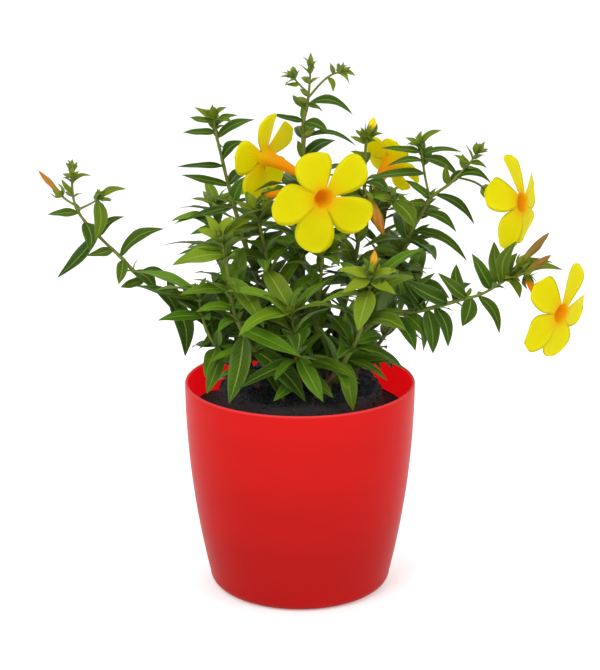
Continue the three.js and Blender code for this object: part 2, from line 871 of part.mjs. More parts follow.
        points: [
          [-4, -14, 188],
          [-14, -20, 240],
          [-26, -20, 290],
          [-34, -18, 326],
          [-37, -18, 338],
        ],
        steps: 2,
        radius: [2.6, 1.2],
        leaves: [
          [3.8, 150, 10, 20, 9, 0.1],
          [4, 112, -10, 17, 7, 0.1],
          [3.6, 200, 20, 22, 9, 0.1],
          [3.5, 120, -40, 26, 10, 0.1],
          [3.2, 10, -20, 30, 11, 0.1],
        ],
        whorls: [[0.5, 2.9, 4, 3, 50, 17]],
      },
    ],
    seats: [{ from: 4, seat: [-30, -22, 351], bloom: "bloom_front" }],
  },
  {
    name: "stem_low_front",
    axes: [
      {
        points: [
          [0, -40, 188],
          [0, -60, 214],
          [-4, -74, 244],
          [-8, -78, 268],
        ],
        steps: 2,
        radius: [2.4, 1],
        leaves: [
          [0.9, -80, 12, 46, 15, 0.05],
          [1.4, -60, 20, 44, 15, 0.06],
        ],
        whorls: [[0.5, 2.9, 4, 3, 50, 17]],
      },
    ],
  },
  {
    name: "stem_low_left",
    axes: [
      {
        points: [
          [-36, -22, 188],
          [-54, -36, 208],
          [-72, -44, 230],
          [-82, -46, 256],
          [-84, -44, 276],
        ],
        radius: [2.4, 1],
        leaves: [
          [2.9, 182, 10, 38, 11, 0.1],
          [3.6, 172, 0, 36, 8, 0.15],
          [1.6, -112, 20, 38, 13, 0.06],
        ],
        whorls: [[0.8, 3.9, 4, 3, 34, 13]],
      },
    ],
  },
  {
    name: "stem_back_left",
    axes: [
      {
        points: [
          [-26, 30, 188],
          [-46, 44, 222],
          [-62, 54, 264],
          [-70, 58, 306],
          [-72, 58, 326],
        ],
        radius: [2.6, 1],
        steps: 2,
        whorls: [
          [0.5, 3.4, 4, 3, 50, 17],
          [4, 4, 1, 3, 26, 9],
        ],
      },
    ],
  },
  {
    name: "stem_back",
    axes: [
      {
        points: [
          [2, 48, 188],
          [0, 64, 226],
          [-4, 76, 276],
          [-6, 78, 322],
          [-6, 76, 344],
        ],
        radius: [2.6, 1],
        steps: 2,
        whorls: [
          [0.5, 3.4, 4, 3, 50, 17],
          [4, 4, 1, 3, 26, 9],
        ],
      },
    ],
  },
  {
    name: "stem_back_right",
    axes: [
      {
        points: [
          [34, 34, 188],
          [52, 48, 224],
          [66, 58, 268],
          [74, 62, 310],
          [76, 62, 330],
        ],
        radius: [2.6, 1],
        steps: 2,
        whorls: [
          [0.5, 3.4, 4, 3, 50, 17],
          [4, 4, 1, 3, 26, 9],
        ],
      },
    ],
  },
  {
    name: "stem_low_right",
    axes: [
      {
        points: [
          [48, 12, 188],
          [70, 20, 212],
          [88, 26, 240],
          [98, 28, 272],
        ],
        radius: [2.4, 1],
        steps: 2,
        leaves: [[2.7, -14, 30, 40, 13, 0.1]],
        whorls: [
          [0.6, 2.4, 3, 3, 36, 14],
          [3, 3, 1, 3, 26, 9],
        ],
      },
    ],
  },
  {
    name: "stem_middle",
    axes: [
      {
        points: [
          [10, -6, 188],
          [14, -12, 236],
          [18, -18, 284],
          [20, -20, 316],
        ],
        radius: [2.4, 1],
        steps: 3,
        whorls: [
          [0.4, 2.4, 3, 3, 50, 17],
          [3, 3, 1, 3, 26, 9],
        ],
      },
    ],
  },
];

const BLOOMS = {
  bloom_front: {
    bend: [9, -40, 362],
    throat: [19, -64, 358],
    spin: 40,
    length: 37,
    width: 32,
    spread: 88,
  },
  bloom_left: { bend: [-9, -1, 372], throat: [-30, 14, 377], spin: 5, length: 32, width: 28, spread: 94 },
  bloom_behind: {
    bend: [68, 21, 360],
    throat: [78, 30, 368],
    spin: 52,
    length: 21,
    width: 24,
    spread: 92,
  },
  bloom_right_upper: {
    bend: [168, -15, 343],
    throat: [184, -26, 346],
    spin: 10,
    length: 36,
    width: 28,
    spread: 110,
  },
  bloom_right_lower: {
    bend: [201, -48, 264],
    throat: [215, -62, 261],
    spin: 62,
    length: 36,
    width: 29,
    spread: 101,
  },
};

const BUDS = {
  bud_left: { length: 28, radius: 2.4, colour: 0xb0752a },
  bud_orange_drooping: { length: 37, radius: 5, colour: 0xb8661a },
  bud_yellow_top: { length: 14, radius: 3.2, colour: 0xb8a020 },
  bud_right_long: { length: 36, radius: 3.3, colour: 0x8a6a34 },
  bud_right_short: { length: 26, radius: 3, colour: 0x8a5a2c },
  bud_orange_front: { length: 17, radius: 3, colour: 0xc07020 },
};

// A leaf that has no room where it is asked for is turned round its stem, lifted or shortened: degrees,
// degrees, share.
const NUDGES = [
  [0, 0, 1],
  [12, 0, 1],
  [-12, 0, 1],
  [0, 10, 1],
  [0, -12, 1],
  [26, 8, 1],
  [-26, 8, 1],
  [0, 24, 1],
  [42, 0, 0.9],
  [-42, 0, 0.9],
  [0, 0, 0.75],
  [20, 30, 0.8],
  [-20, 30, 0.8],
  [0, 45, 0.7],
  [62, 0, 0.7],
  [-62, 0, 0.7],
];

// The straight pieces of a stem between its soil end and its tip.
function layOut(axis, first) {
  const start = first ? [alongAxis(first, axis.from).point] : [];
  const points = [...start, ...axis.points.map(vector)];
  const curve = new THREE.CatmullRomCurve3(points, false, "catmullrom", 0.5);
  const count = (points.length - 1) * (axis.steps ?? 1);
  const samples = [];
  for (let i = 0; i <= count; i++) samples.push(curve.getPoint(i / count));
  return { ...axis, samples, last: points.length - 1 };
}

// The point, heading and thickness of an axis at a point number.
function alongAxis(axis, at) {
  const count = axis.samples.length - 1;
  const place = Math.min(Math.max((at / axis.last) * count, 0), count - TIP_SHARE);
  const i = Math.floor(place);
  const [a, b] = [axis.samples[i], axis.samples[i + 1]];
  return {
    point: a.clone().lerp(b, place - i),
    tangent: b.clone().sub(a).normalize(),
    radius: THREE.MathUtils.lerp(axis.radius[0], axis.radius[1], place / count),
  };
}

function axisSolid(axis, isMain) {
  const count = axis.samples.length - 1;
  const radii = axis.samples.map((p, i) => THREE.MathUtils.lerp(axis.radius[0], axis.radius[1], i / count));
  const points = [...axis.samples];
  if (isMain) {
    points.unshift(new THREE.Vector3(points[0].x, points[0].y, STEM_FOOT_HEIGHT));
    radii.unshift(axis.radius[0]);
  }
  return tube(points, radii, STEM_SIDES);
}

// The stalk that leaves a stem and carries a calyx, with the calyx on its end.
function seatSolids(main, { from, seat, aim, bloom }) {
  const way = (bloom ? vector(BLOOMS[bloom].bend).sub(vector(seat)) : vector(aim)).normalize();
  const root = alongAxis(main, from).point;
  const end = vector(seat).addScaledVector(way, PEDICEL_OVERLAP - CALYX.length + CALYX.depth);
  const bend = end.clone().addScaledVector(way, -PEDICEL_BEND * root.distanceTo(end));
  const curve = new THREE.QuadraticBezierCurve3(root, bend, end);
  const points = [0, 0.5, 1].map((t) => curve.getPoint(t));
  const radii = points.map(() => PEDICEL_RADIUS);
  return [tube(points, radii, STEM_SIDES), calyxCup(vector(seat), way)];
}

// The leaves that an axis asks for, in the order in which they are given room.
function placedLeaves(axis) {
  return (axis.leaves ?? []).map(([at, turn, forward, length, width, arch]) => {
    const { point, tangent } = alongAxis(axis, at);
    const facing = new THREE.Vector3(0, -0.8, 1);
    return { foot: point, tangent, direction: heading(turn, forward), facing, length, width, arch, roll: 0 };
  });
}

function whorlLeaves(axis) {
  const leaves = [];
  for (const [first, last, rows, count, length, width] of axis.whorls ?? [])
    for (let row = 0; row < rows; row++) {
      const at = first + ((last - first) * row) / Math.max(rows - 1, 1);
      const { point, tangent } = alongAxis(axis, at);
      const right = tangent.clone().cross(new THREE.Vector3(0, 1, 0)).normalize();
      const back = tangent.clone().cross(right);
      for (let k = 0; k < count; k++) {
        const jitter = draw(-WHORL.jitter, WHORL.jitter);
        const angle = radians((360 * k) / count + WHORL.twist * row + jitter);
        const tilt = radians(draw(...WHORL.tilt));
        const share = draw(...WHORL.share);
        const roll = radians(draw(-WHORL.roll, WHORL.roll));
        const arch = draw(...WHORL.arch);
        const away = right.clone().multiplyScalar(Math.cos(angle)).addScaledVector(back, Math.sin(angle));
        const direction = tangent
          .clone()
          .multiplyScalar(Math.cos(tilt))
          .addScaledVector(away, Math.sin(tilt))
          .addScaledVector(UP, -WHORL_DROOP)
          .normalize();
        const facing = UP.clone().addScaledVector(tangent, 0.6).addScaledVector(away, 0.8);
        const size = { length: share * length, width: share * width };
        leaves.push({ foot: point, tangent, direction, facing, ...size, arch, roll });
      }
    }
  return leaves;
}

function nudged(leaf, [turn, lift, share]) {
  const direction = leaf.direction.clone().applyAxisAngle(leaf.tangent, radians(turn));
  direction.addScaledVector(UP, Math.tan(radians(lift))).normalize();
  return { ...leaf, direction, length: leaf.length * share, width: leaf.width * share };
}

// Pieces already in place, each with its node's name and its box.
const pieces = [];
function keep(name, solid) {
  pieces.push({ name, solid, box: solid.boundingBox() });
  return solid;
}

function meets(solid, wanted) {
  const box = solid.boundingBox();
  return pieces.some((piece) => {
    if (!wanted(piece.name)) return false;
    for (let i = 0; i < 3; i++)
      if (piece.box.min[i] > box.max[i] || piece.box.max[i] < box.min[i]) return false;
    const common = solid.intersect(piece.solid);
    const empty = common.isEmpty();
    common.delete();
    return !empty;
  });
}

// The first way to place the leaf in which it clears the other nodes and its own node's other parts.
function roomyLeaf(name, leaf) {
  for (const nudge of NUDGES) {
    const tried = nudged(leaf, nudge);
    const wide = blade(tried, GAP);
    const footless = blade(tried, OWN_ROOM, FOOT_SHARE);
    const blocked = meets(wide, (other) => other !== name) || meets(footless, (other) => other === name);
    wide.delete();
    footless.delete();
    if (!blocked) return blade(tried);
  }
  return null;
}

const model = new THREE.Group();
model.name = "potted_allamanda";

function addMesh(name, solid, colour, roughness) {
  const { vertProperties, triVerts } = solid.getMesh();
  const geometry = new THREE.BufferGeometry();
  geometry.setAttribute("position", new THREE.BufferAttribute(new Float32Array(vertProperties), 3));
  geometry.setIndex(new THREE.BufferAttribute(new Uint32Array(triVerts), 1));
  geometry.computeVertexNormals();
  const material = new THREE.MeshStandardMaterial({ color: colour, roughness, metalness: 0 });
  const mesh = new THREE.Mesh(geometry, material);
  mesh.name = name;
  model.add(mesh);
}

const feet = PLANT.map(({ axes: [{ points, radius }] }) => ({
  x: points[0][0],
  y: points[0][1],
  radius: radius[0],
}));
addMesh("pot", keep("pot", potShape()), POT_RED, 0.35);
addMesh("soil", keep("soil", soilShape(feet)), SOIL_BLACK, 0.95);

// Stems, stalks and calyxes first, then blooms and buds, then the leaves around them.
const stems = PLANT.map(({ name, axes, seats = [] }) => {
  const main = layOut(axes[0]);
  const laid = [main, ...axes.slice(1).map((axis) => layOut(axis, main))];
  const solids = laid.map((axis, i) => keep(name, axisSolid(axis, i === 0)));
  for (const seat of seats) solids.push(...seatSolids(main, seat).map((s) => keep(name, s)));
  return { name, laid, solids, seats };
});

for (const { seats } of stems)
  for (const { seat, aim, bloom, bud } of seats)
    if (bloom) addMesh(bloom, keep(bloom, bloomShape({ start: seat, ...BLOOMS[bloom] })), YELLOW, 0.5);
    else {
      const { length, radius, colour } = BUDS[bud];
      const shape = flowerBud({ start: vector(seat), direction: vector(aim), length, radius });
      addMesh(bud, keep(bud, shape), colour, 0.5);
    }

for (const { name, laid, solids } of stems)
  for (const axis of laid)
    for (const [at, turn, forward, length] of axis.buds ?? []) {
      const { point } = alongAxis(axis, at);
      solids.push(keep(name, smallBud(point, heading(turn, forward), length)));
    }

for (const leavesOf of [placedLeaves, whorlLeaves])
  for (const { name, laid, solids } of stems)
    for (const axis of laid)
      for (const leaf of leavesOf(axis)) {
        const solid = roomyLeaf(name, leaf);
        if (solid) solids.push(keep(name, solid));
      }

for (const { name, solids } of stems) {
  const green = name.includes("front") ? PALE_GREEN : GREEN;
  addMesh(name, wasm.Manifold.union(solids), green, 0.45);
}

export default model;
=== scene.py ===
"""Potted allamanda: leafy stems, yellow blooms and buds in a red plastic pot.

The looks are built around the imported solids. Lengths in the tables are millimetres,
as in the part's own source, and every finished mesh is in metres.
"""

import math
import random
from functools import partialmethod

import bmesh
import bpy
import numpy as np
from mathutils import Matrix, Quaternion, Vector, kdtree, noise


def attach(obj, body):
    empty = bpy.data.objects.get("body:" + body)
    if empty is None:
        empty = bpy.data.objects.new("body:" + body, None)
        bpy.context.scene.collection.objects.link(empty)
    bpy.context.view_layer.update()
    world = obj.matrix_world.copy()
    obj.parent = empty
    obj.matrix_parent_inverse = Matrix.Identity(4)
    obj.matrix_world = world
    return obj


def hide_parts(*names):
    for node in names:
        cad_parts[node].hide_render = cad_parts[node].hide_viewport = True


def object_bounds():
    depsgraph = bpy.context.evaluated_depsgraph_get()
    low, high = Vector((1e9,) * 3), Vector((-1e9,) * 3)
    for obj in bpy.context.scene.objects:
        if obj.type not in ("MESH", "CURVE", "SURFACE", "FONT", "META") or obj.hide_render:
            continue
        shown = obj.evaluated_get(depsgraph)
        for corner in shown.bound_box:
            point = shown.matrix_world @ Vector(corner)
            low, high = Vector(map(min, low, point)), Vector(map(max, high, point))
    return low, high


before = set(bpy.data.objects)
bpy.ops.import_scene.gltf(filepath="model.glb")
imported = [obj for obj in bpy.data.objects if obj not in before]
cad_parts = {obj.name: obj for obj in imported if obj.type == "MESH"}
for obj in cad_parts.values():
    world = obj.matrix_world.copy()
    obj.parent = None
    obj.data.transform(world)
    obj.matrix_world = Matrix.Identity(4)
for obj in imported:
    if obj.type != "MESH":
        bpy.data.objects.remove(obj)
CAD_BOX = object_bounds()

bl_info = {
    "name": "Potted allamanda",
    "version": (1, 0, 0),
    "blender": (4, 5, 0),
    "location": "View3D > Sidebar > Allamanda",
    "description": "Builds a potted allamanda with leaves, blooms, buds, soil and pot",
    "category": "Add Mesh",
}

MM = 0.001
UP = Vector((0, 0, 1))

# The plant. An axis is a stem's middle line, and a side axis starts on the first axis at a
# point number. A leaf is (point number, turn, forward, length, width, arch), whorls are
# (first point, last point, rows, leaves in a row, length, width) and a small bud is
# (point number, turn, forward, length).
PLANT = {
    "stem_left": [
        dict(
            radius=(2.8, 1.1),
            points=[
                (-22, -8, 188), (-36, -14, 224), (-60, -16, 244), (-88, -12, 251), (-106, -11, 259),
                (-124, -12, 271), (-138, -14, 282), (-150, -15, 296), (-165, -15, 311),
                (-181, -15, 329), (-188, -15, 343), (-190, -12, 358), (-189, -10, 372),
            ],
            leaves=[
                (9.4, 180, 10, 27, 9, 0.1), (10.6, 130, 0, 15, 5, 0.1), (11, 28, 15, 20, 5, 0.15),
                (8.9, -80, 25, 26, 13, 0.08), (8.3, 226, 12, 50, 12, 0.06),
                (7.5, 187, 30, 24, 10, 0.1), (8.2, 35, -25, 28, 8, 0.1), (7.1, 33, 5, 46, 13, 0.08),
                (6.9, -100, 30, 22, 10, 0.1), (6.2, -42, 20, 28, 12, 0.1), (5.9, 0, 0, 26, 6, 0.22),
                (5, -54, 10, 36, 11, 0.1), (5.5, 195, 10, 22, 10, 0.1), (4.2, -76, 12, 54, 16, 0.08),
                (2.3, 182, 35, 30, 10, 0.1), (3, 52, 10, 24, 9, 0.12), (3.7, 118, -10, 26, 9, 0.1),
            ],
            whorls=[(0.7, 2.6, 3, 2, 42, 14)],
            buds=[(12, 95, 10, 9), (12, 60, 0, 8), (12, 132, 10, 9), (11.5, 160, 20, 9)],
        ),
        dict(
            start=9.6, radius=(1.2, 1),
            points=[(-177, -17, 342), (-167, -20, 348)],
            leaves=[(1.9, -95, 10, 34, 12, 0.06), (2, 22, 10, 27, 8, 0.1)],
        ),
    ],
    "stem_tall_left": [
        dict(
            radius=(2.8, 1.1),
            points=[
                (-12, 14, 188), (-24, 12, 236), (-42, 6, 288), (-54, 5, 330), (-61, 8, 356),
                (-67, 10, 382), (-71, 10, 400), (-72, 10, 412),
            ],
            leaves=[
                (5.9, 178, 10, 28, 8, 0.1), (4.7, 43, 10, 26, 12, 0.1), (4.5, 177, 15, 41, 7, 0.18),
                (3.9, 165, 10, 42, 9, 0.1), (3.3, 68, 10, 27, 12, 0.08), (3.2, 191, 15, 42, 9, 0.1),
                (2.7, 188, 0, 44, 11, 0.1), (6.2, 28, 0, 22, 7, 0.1), (5.6, 25, -15, 36, 10, 0.1),
                (7, 150, 10, 19, 7, 0.1), (6.9, 100, 30, 15, 6, 0.1), (6.8, 45, 15, 15, 6, 0.1),
                (6.6, 172, -15, 22, 7, 0.1), (6.5, 10, 30, 18, 7, 0.1), (5.2, -60, -60, 26, 10, 0.1),
                (3.9, 20, -55, 34, 11, 0.1),
            ],
            whorls=[(0.6, 2.4, 4, 3, 48, 16)],
            buds=[(7, 88, 15, 10), (7, 128, -10, 9)],
        ),
    ],
    "stem_front_left": [
        dict(
            radius=(2.6, 1.2),
            points=[
                (-16, -36, 188), (-30, -52, 214), (-44, -60, 238), (-54, -62, 262), (-58, -62, 286),
                (-62, -60, 312), (-65, -58, 326),
            ],
            leaves=[
                (4.9, 188, 10, 44, 16, 0.12), (3.8, 183, 10, 42, 11, 0.1),
                (4.2, -51, 25, 52, 16, 0.08), (3.1, 178, 20, 33, 10, 0.12),
                (2.2, -103, 13, 60, 18, 0.05), (2.4, -19, 25, 58, 15, 0.1),
                (1.6, -44, 12, 62, 19, 0.06), (1, -61, 15, 36, 12, 0.08), (6, 122, 0, 22, 9, 0.1),
                (6, 60, 20, 24, 9, 0.1), (5.9, 28, -10, 29, 11, 0.1), (5.8, 162, -20, 22, 9, 0.1),
                (4.6, 60, 50, 26, 12, 0.1), (3.2, 20, 60, 30, 13, 0.1),
            ],
            whorls=[(1.4, 5.2, 4, 2, 36, 12)],
            buds=[(6, 90, 0, 11), (6, 105, 40, 10)],
        ),
    ],
    "stem_top": [
        dict(
            radius=(2.8, 1), steps=2,
            points=[
                (2, 22, 188), (2, 26, 250), (3, 26, 320), (3, 25, 382), (3, 25, 404), (6, 25, 418),
                (8, 25, 436), (9, 25, 453),
            ],
            leaves=[
                (5.1, -12, 10, 40, 10, 0.22), (5, -25, -25, 16, 6, 0.1), (4, -20, 20, 24, 11, 0.1),
                (4.05, 165, 10, 29, 7, 0.1), (3.25, -3, 20, 48, 6, 0.15), (3.2, 160, -40, 34, 11, 0.1),
                (2.8, 25, -40, 40, 12, 0.1), (4.8, 140, -40, 20, 7, 0.1),
            ],
            whorls=[(0.4, 2.4, 4, 3, 50, 17)],
            buds=[(7, 90, 0, 11), (5.5, 140, 10, 10), (5.2, 155, 25, 13), (3.3, 35, 30, 14)],
        ),
        dict(
            start=5.4, radius=(1.1, 0.9),
            points=[(18, 24, 438), (27, 23, 445), (35, 23, 447)],
            leaves=[(3, -8, 20, 13, 5, 0.1), (1.6, -70, 20, 13, 5, 0.1)],
            buds=[(3, 75, 0, 9), (3, 30, 10, 10), (2.2, 110, 10, 10)],
        ),
        dict(
            start=5.6, radius=(1, 0.9),
            points=[(1, 23, 435), (-6, 22, 443)],
            leaves=[(1.2, 178, 10, 12, 5, 0.1)],
            buds=[(2, 130, 10, 9)],
        ),
    ],
    "stem_mid_right": [
        dict(
            radius=(2.8, 1.1), steps=2,
            points=[
                (22, 10, 188), (36, 12, 238), (48, 12, 292), (54, 10, 346), (55, 10, 384),
                (57, 10, 394),
            ],
            leaves=[
                (4.3, 152, 10, 16, 6, 0.1), (3.8, 155, 20, 15, 6, 0.1), (5, 150, -20, 13, 5, 0.1),
                (4.8, 20, 10, 14, 5, 0.1), (4.9, 65, -40, 13, 5, 0.1), (4.9, 120, 20, 12, 5, 0.1),
                (3.5, 175, 40, 26, 10, 0.1), (3.2, -10, 50, 30, 12, 0.1), (3.6, 10, -40, 34, 11, 0.1),
            ],
            whorls=[(0.6, 2.9, 3, 3, 50, 17)],
        ),
    ],
    "stem_right_upper": [
        dict(
            radius=(2.8, 1),
            points=[
                (32, -2, 188), (54, 4, 228), (76, 8, 270), (91, 5, 305), (97, 1, 321), (103, -1, 332),
                (109, -5, 345), (124, -10, 358), (130, -10, 364), (141, -10, 376), (149, -10, 387),
            ],
            leaves=[
                (6, 142, 10, 28, 9, 0.1), (5.7, 176, 20, 20, 8, 0.1), (8, -8, 10, 30, 9, 0.22),
                (6.3, -37, 10, 42, 9, 0.08), (5, -27, 20, 34, 10, 0.1), (3.6, -27, 10, 54, 10, 0.1),
                (3.1, -25, 35, 30, 10, 0.1), (7, 100, 10, 19, 7, 0.1), (7.1, 20, -40, 26, 8, 0.1),
                (9, 150, 10, 16, 6, 0.1), (9, -18, -10, 16, 6, 0.1), (9.6, 70, 20, 12, 5, 0.1),
                (4.4, 10, -50, 34, 11, 0.1), (2.6, 150, 40, 36, 12, 0.1),
            ],
            whorls=[(0.6, 3, 4, 3, 47, 16)],
            buds=[(10, 60, 0, 10), (10, 105, 10, 9), (10, 20, 20, 9)],
        ),
        dict(
            start=6, radius=(1.2, 1),
            points=[(105, -2, 362), (102, 0, 380), (100, 0, 390)],
            leaves=[
                (1.2, 181, 20, 52, 10, 0.12), (1.7, 176, 38, 40, 8, 0.16), (2.3, 170, 16, 36, 8, 0.14),
                (1.9, -27, 10, 35, 11, 0.1), (2.1, 5, 5, 34, 6, 0.12), (3, 150, 10, 15, 6, 0.1),
                (3, 38, 10, 23, 7, 0.1), (3, 85, 0, 13, 5, 0.1), (2.6, 110, 50, 14, 6, 0.1),
                (1.5, 60, -50, 26, 9, 0.1),
            ],
        ),
        dict(
            start=4, radius=(1.2, 1),
            points=[(87, -7, 333), (77, -9, 345)],
            leaves=[
                (1.9, -50, 15, 30, 17, 0.12), (2, 165, 20, 20, 8, 0.1), (1.2, 20, 45, 20, 9, 0.1),
            ],
            buds=[(2, 100, 10, 10), (2, 135, 0, 10)],
        ),
    ],
    "stem_right_lower": [
        dict(
            radius=(2.8, 1.1),
            points=[
                (24, -26, 188), (44, -34, 228), (64, -36, 247), (84, -36, 254), (102, -38, 257),
                (122, -40, 263), (132, -40, 266), (150, -40, 271), (164, -40, 279), (174, -40, 286),
            ],
            leaves=[
                (4.1, 123, 10, 40, 13, 0.08), (3.8, 140, 20, 29, 11, 0.1), (5.1, 147, 5, 48, 16, 0.1),
                (6.4, 138, 5, 34, 13, 0.08), (4.2, -82, 15, 38, 14, 0.06),
                (4.5, -70, 25, 36, 12, 0.08), (3.1, -45, 20, 31, 12, 0.1),
                (6.6, -107, 10, 26, 14, 0.08), (6.9, -60, 15, 37, 10, 0.1),
                (7.6, 118, 5, 36, 13, 0.08), (8.2, 98, -15, 36, 13, 0.1), (8.5, 76, 10, 38, 12, 0.1),
                (8.8, 125, 30, 28, 10, 0.1), (9, -60, 10, 20, 8, 0.1), (9, 10, 5, 46, 11, 0.08),
                (8.9, 27, -15, 42, 9, 0.1), (8.7, 62, -30, 26, 9, 0.1), (6.2, 100, -35, 32, 11, 0.1),
                (5.6, 30, -50, 30, 10, 0.1),
            ],
            whorls=[(0.6, 3.4, 4, 2, 42, 15)],
            buds=[(9, 95, 20, 10)],
        ),
    ],
    "stem_front_right": [
        dict(
            radius=(2.6, 1.2),
            points=[(14, -44, 188), (34, -60, 214), (48, -68, 244), (56, -72, 274), (57, -74, 298)],
            leaves=[
                (4, 165, 10, 28, 10, 0.1), (4, 15, 10, 24, 9, 0.1), (3.8, 200, 25, 27, 11, 0.1),
                (3.7, -20, 25, 25, 10, 0.1), (4, 118, 30, 15, 6, 0.1), (4, 60, -20, 18, 7, 0.1),
                (3.4, -108, 30, 36, 17, 0.08), (1.2, -80, 5, 44, 14, 0.05),
            ],
            whorls=[(0.8, 3.2, 4, 3, 46, 16)],
        ),
    ],
    "stem_mid_left": [
        dict(
            radius=(2.6, 1.2), steps=2,
            points=[
                (-4, -14, 188), (-14, -20, 240), (-26, -20, 290), (-34, -18, 326), (-37, -18, 338),
            ],
            leaves=[
                (3.8, 150, 10, 20, 9, 0.1), (4, 112, -10, 17, 7, 0.1), (3.6, 200, 20, 22, 9, 0.1),
                (3.5, 120, -40, 26, 10, 0.1), (3.2, 10, -20, 30, 11, 0.1),
            ],
            whorls=[(0.5, 2.9, 4, 3, 50, 17)],
        ),
    ],
    "stem_low_front": [
        dict(
            radius=(2.4, 1), steps=2,
            points=[(0, -40, 188), (0, -60, 214), (-4, -74, 244), (-8, -78, 268)],
            leaves=[(0.9, -80, 12, 46, 15, 0.05), (1.4, -60, 20, 44, 15, 0.06)],
            whorls=[(0.5, 2.9, 4, 3, 50, 17)],
        ),
    ],
    "stem_low_left": [
        dict(
            radius=(2.4, 1),
            points=[
                (-36, -22, 188), (-54, -36, 208), (-72, -44, 230), (-82, -46, 256), (-84, -44, 276),
            ],
            leaves=[
                (2.9, 182, 10, 38, 11, 0.1), (3.6, 172, 0, 36, 8, 0.15), (1.6, -112, 20, 38, 13, 0.06),
            ],
            whorls=[(0.8, 3.9, 4, 3, 34, 13)],
        ),
    ],
    "stem_back_left": [
        dict(
            radius=(2.6, 1), steps=2,
            points=[(-26, 30, 188), (-46, 44, 222), (-62, 54, 264), (-70, 58, 306), (-72, 58, 326)],
            whorls=[(0.5, 3.4, 4, 3, 50, 17), (4, 4, 1, 3, 26, 9)],
        ),
    ],
    "stem_back": [
        dict(
            radius=(2.6, 1), steps=2,
            points=[(2, 48, 188), (0, 64, 226), (-4, 76, 276), (-6, 78, 322), (-6, 76, 344)],
            whorls=[(0.5, 3.4, 4, 3, 50, 17), (4, 4, 1, 3, 26, 9)],
        ),
    ],
    "stem_back_right": [
        dict(
            radius=(2.6, 1), steps=2,
            points=[(34, 34, 188), (52, 48, 224), (66, 58, 268), (74, 62, 310), (76, 62, 330)],
            whorls=[(0.5, 3.4, 4, 3, 50, 17), (4, 4, 1, 3, 26, 9)],
        ),
    ],
    "stem_low_right": [
        dict(
            radius=(2.4, 1), steps=2,
            points=[(48, 12, 188), (70, 20, 212), (88, 26, 240), (98, 28, 272)],
            leaves=[(2.7, -14, 30, 40, 13, 0.1)],
            whorls=[(0.6, 2.4, 3, 3, 36, 14), (3, 3, 1, 3, 26, 9)],
        ),
    ],
    "stem_middle": [
        dict(
            radius=(2.4, 1), steps=3,
            points=[(10, -6, 188), (14, -12, 236), (18, -18, 284), (20, -20, 316)],
            whorls=[(0.4, 2.4, 3, 3, 50, 17), (3, 3, 1, 3, 26, 9)],
        ),
    ],
}

# Calyxes on their stalks: the stem's point number, the place, and the bloom or bud they hold.
# A bud's calyx has the direction that it looks in, and a bloom's looks along its tube.
SEATS = [
    dict(stem="stem_left", start=9.9, seat=(-199, -20, 352), aim=(-16, -5, 20), holds="bud_left"),
    dict(stem="stem_top", start=2.45, seat=(3, -6, 363), holds="bloom_left"),
    dict(
        stem="stem_mid_right", start=3.1, seat=(57, -2, 347), aim=(10, -7, -24),
        holds="bud_orange_drooping",
    ),
    dict(stem="stem_mid_right", start=3.1, seat=(63, 8, 347), holds="bloom_behind"),
    dict(
        stem="stem_mid_right", start=5, seat=(59, 8, 399), aim=(3, -3, 14),
        holds="bud_yellow_top",
    ),
    dict(stem="stem_right_upper", start=8, seat=(154, -7, 354), holds="bloom_right_upper"),
    dict(
        stem="stem_right_lower", start=9, seat=(182, -42, 298), aim=(25, 6, 26),
        holds="bud_right_long",
    ),
    dict(
        stem="stem_right_lower", start=9, seat=(187, -48, 293), aim=(20, -8, 17),
        holds="bud_right_short",
    ),
    dict(stem="stem_right_lower", start=8.9, seat=(189, -32, 283), holds="bloom_right_lower"),
    dict(
        stem="stem_front_right", start=4, seat=(59, -78, 303), aim=(1, -3, 14),
        holds="bud_orange_front",
    ),
    dict(stem="stem_mid_left", start=4, seat=(-30, -22, 351), holds="bloom_front"),
]

# A tube runs from its seat past its bend to its throat. Spin turns the petals round it, and
# spread opens them.
BLOOMS = {
    "bloom_front": dict(
        bend=(9, -40, 362), throat=(19, -64, 358), spin=40, length=37, width=32, spread=88
    ),
    "bloom_left": dict(
        bend=(-9, -1, 372), throat=(-30, 14, 377), spin=5, length=32, width=28, spread=94
    ),
    "bloom_behind": dict(
        bend=(68, 21, 360), throat=(78, 30, 368), spin=52, length=21, width=24, spread=92
    ),
    "bloom_right_upper": dict(
        bend=(168, -15, 343), throat=(184, -26, 346), spin=10, length=36, width=28, spread=110
    ),
    "bloom_right_lower": dict(
        bend=(201, -48, 264), throat=(215, -62, 261), spin=62, length=36, width=29, spread=101
    ),
}

# Warmth goes from 0, brown, past 1, orange, to 2, yellow.
BUDS = {
    "bud_left": dict(length=28, radius=2.4, warmth=0.6),
    "bud_orange_drooping": dict(length=37, radius=5, warmth=0.9),
    "bud_yellow_top": dict(length=14, radius=3.2, warmth=2.0),
    "bud_right_long": dict(length=36, radius=3.3, warmth=0.05),
    "bud_right_short": dict(length=26, radius=3, warmth=0.15),
    "bud_orange_front": dict(length=17, radius=3, warmth=1.25),
}

# A leaf that had no room in the solids was turned, lifted and shortened by one of these.
NUDGES = [
    (0, 0, 1), (12, 0, 1), (-12, 0, 1), (0, 10, 1), (0, -12, 1), (26, 8, 1), (-26, 8, 1), (0, 24, 1),
    (42, 0, 0.9), (-42, 0, 0.9), (0, 0, 0.75), (20, 30, 0.8), (-20, 30, 0.8), (0, 45, 0.7),
    (62, 0, 0.7), (-62, 0, 0.7),
]

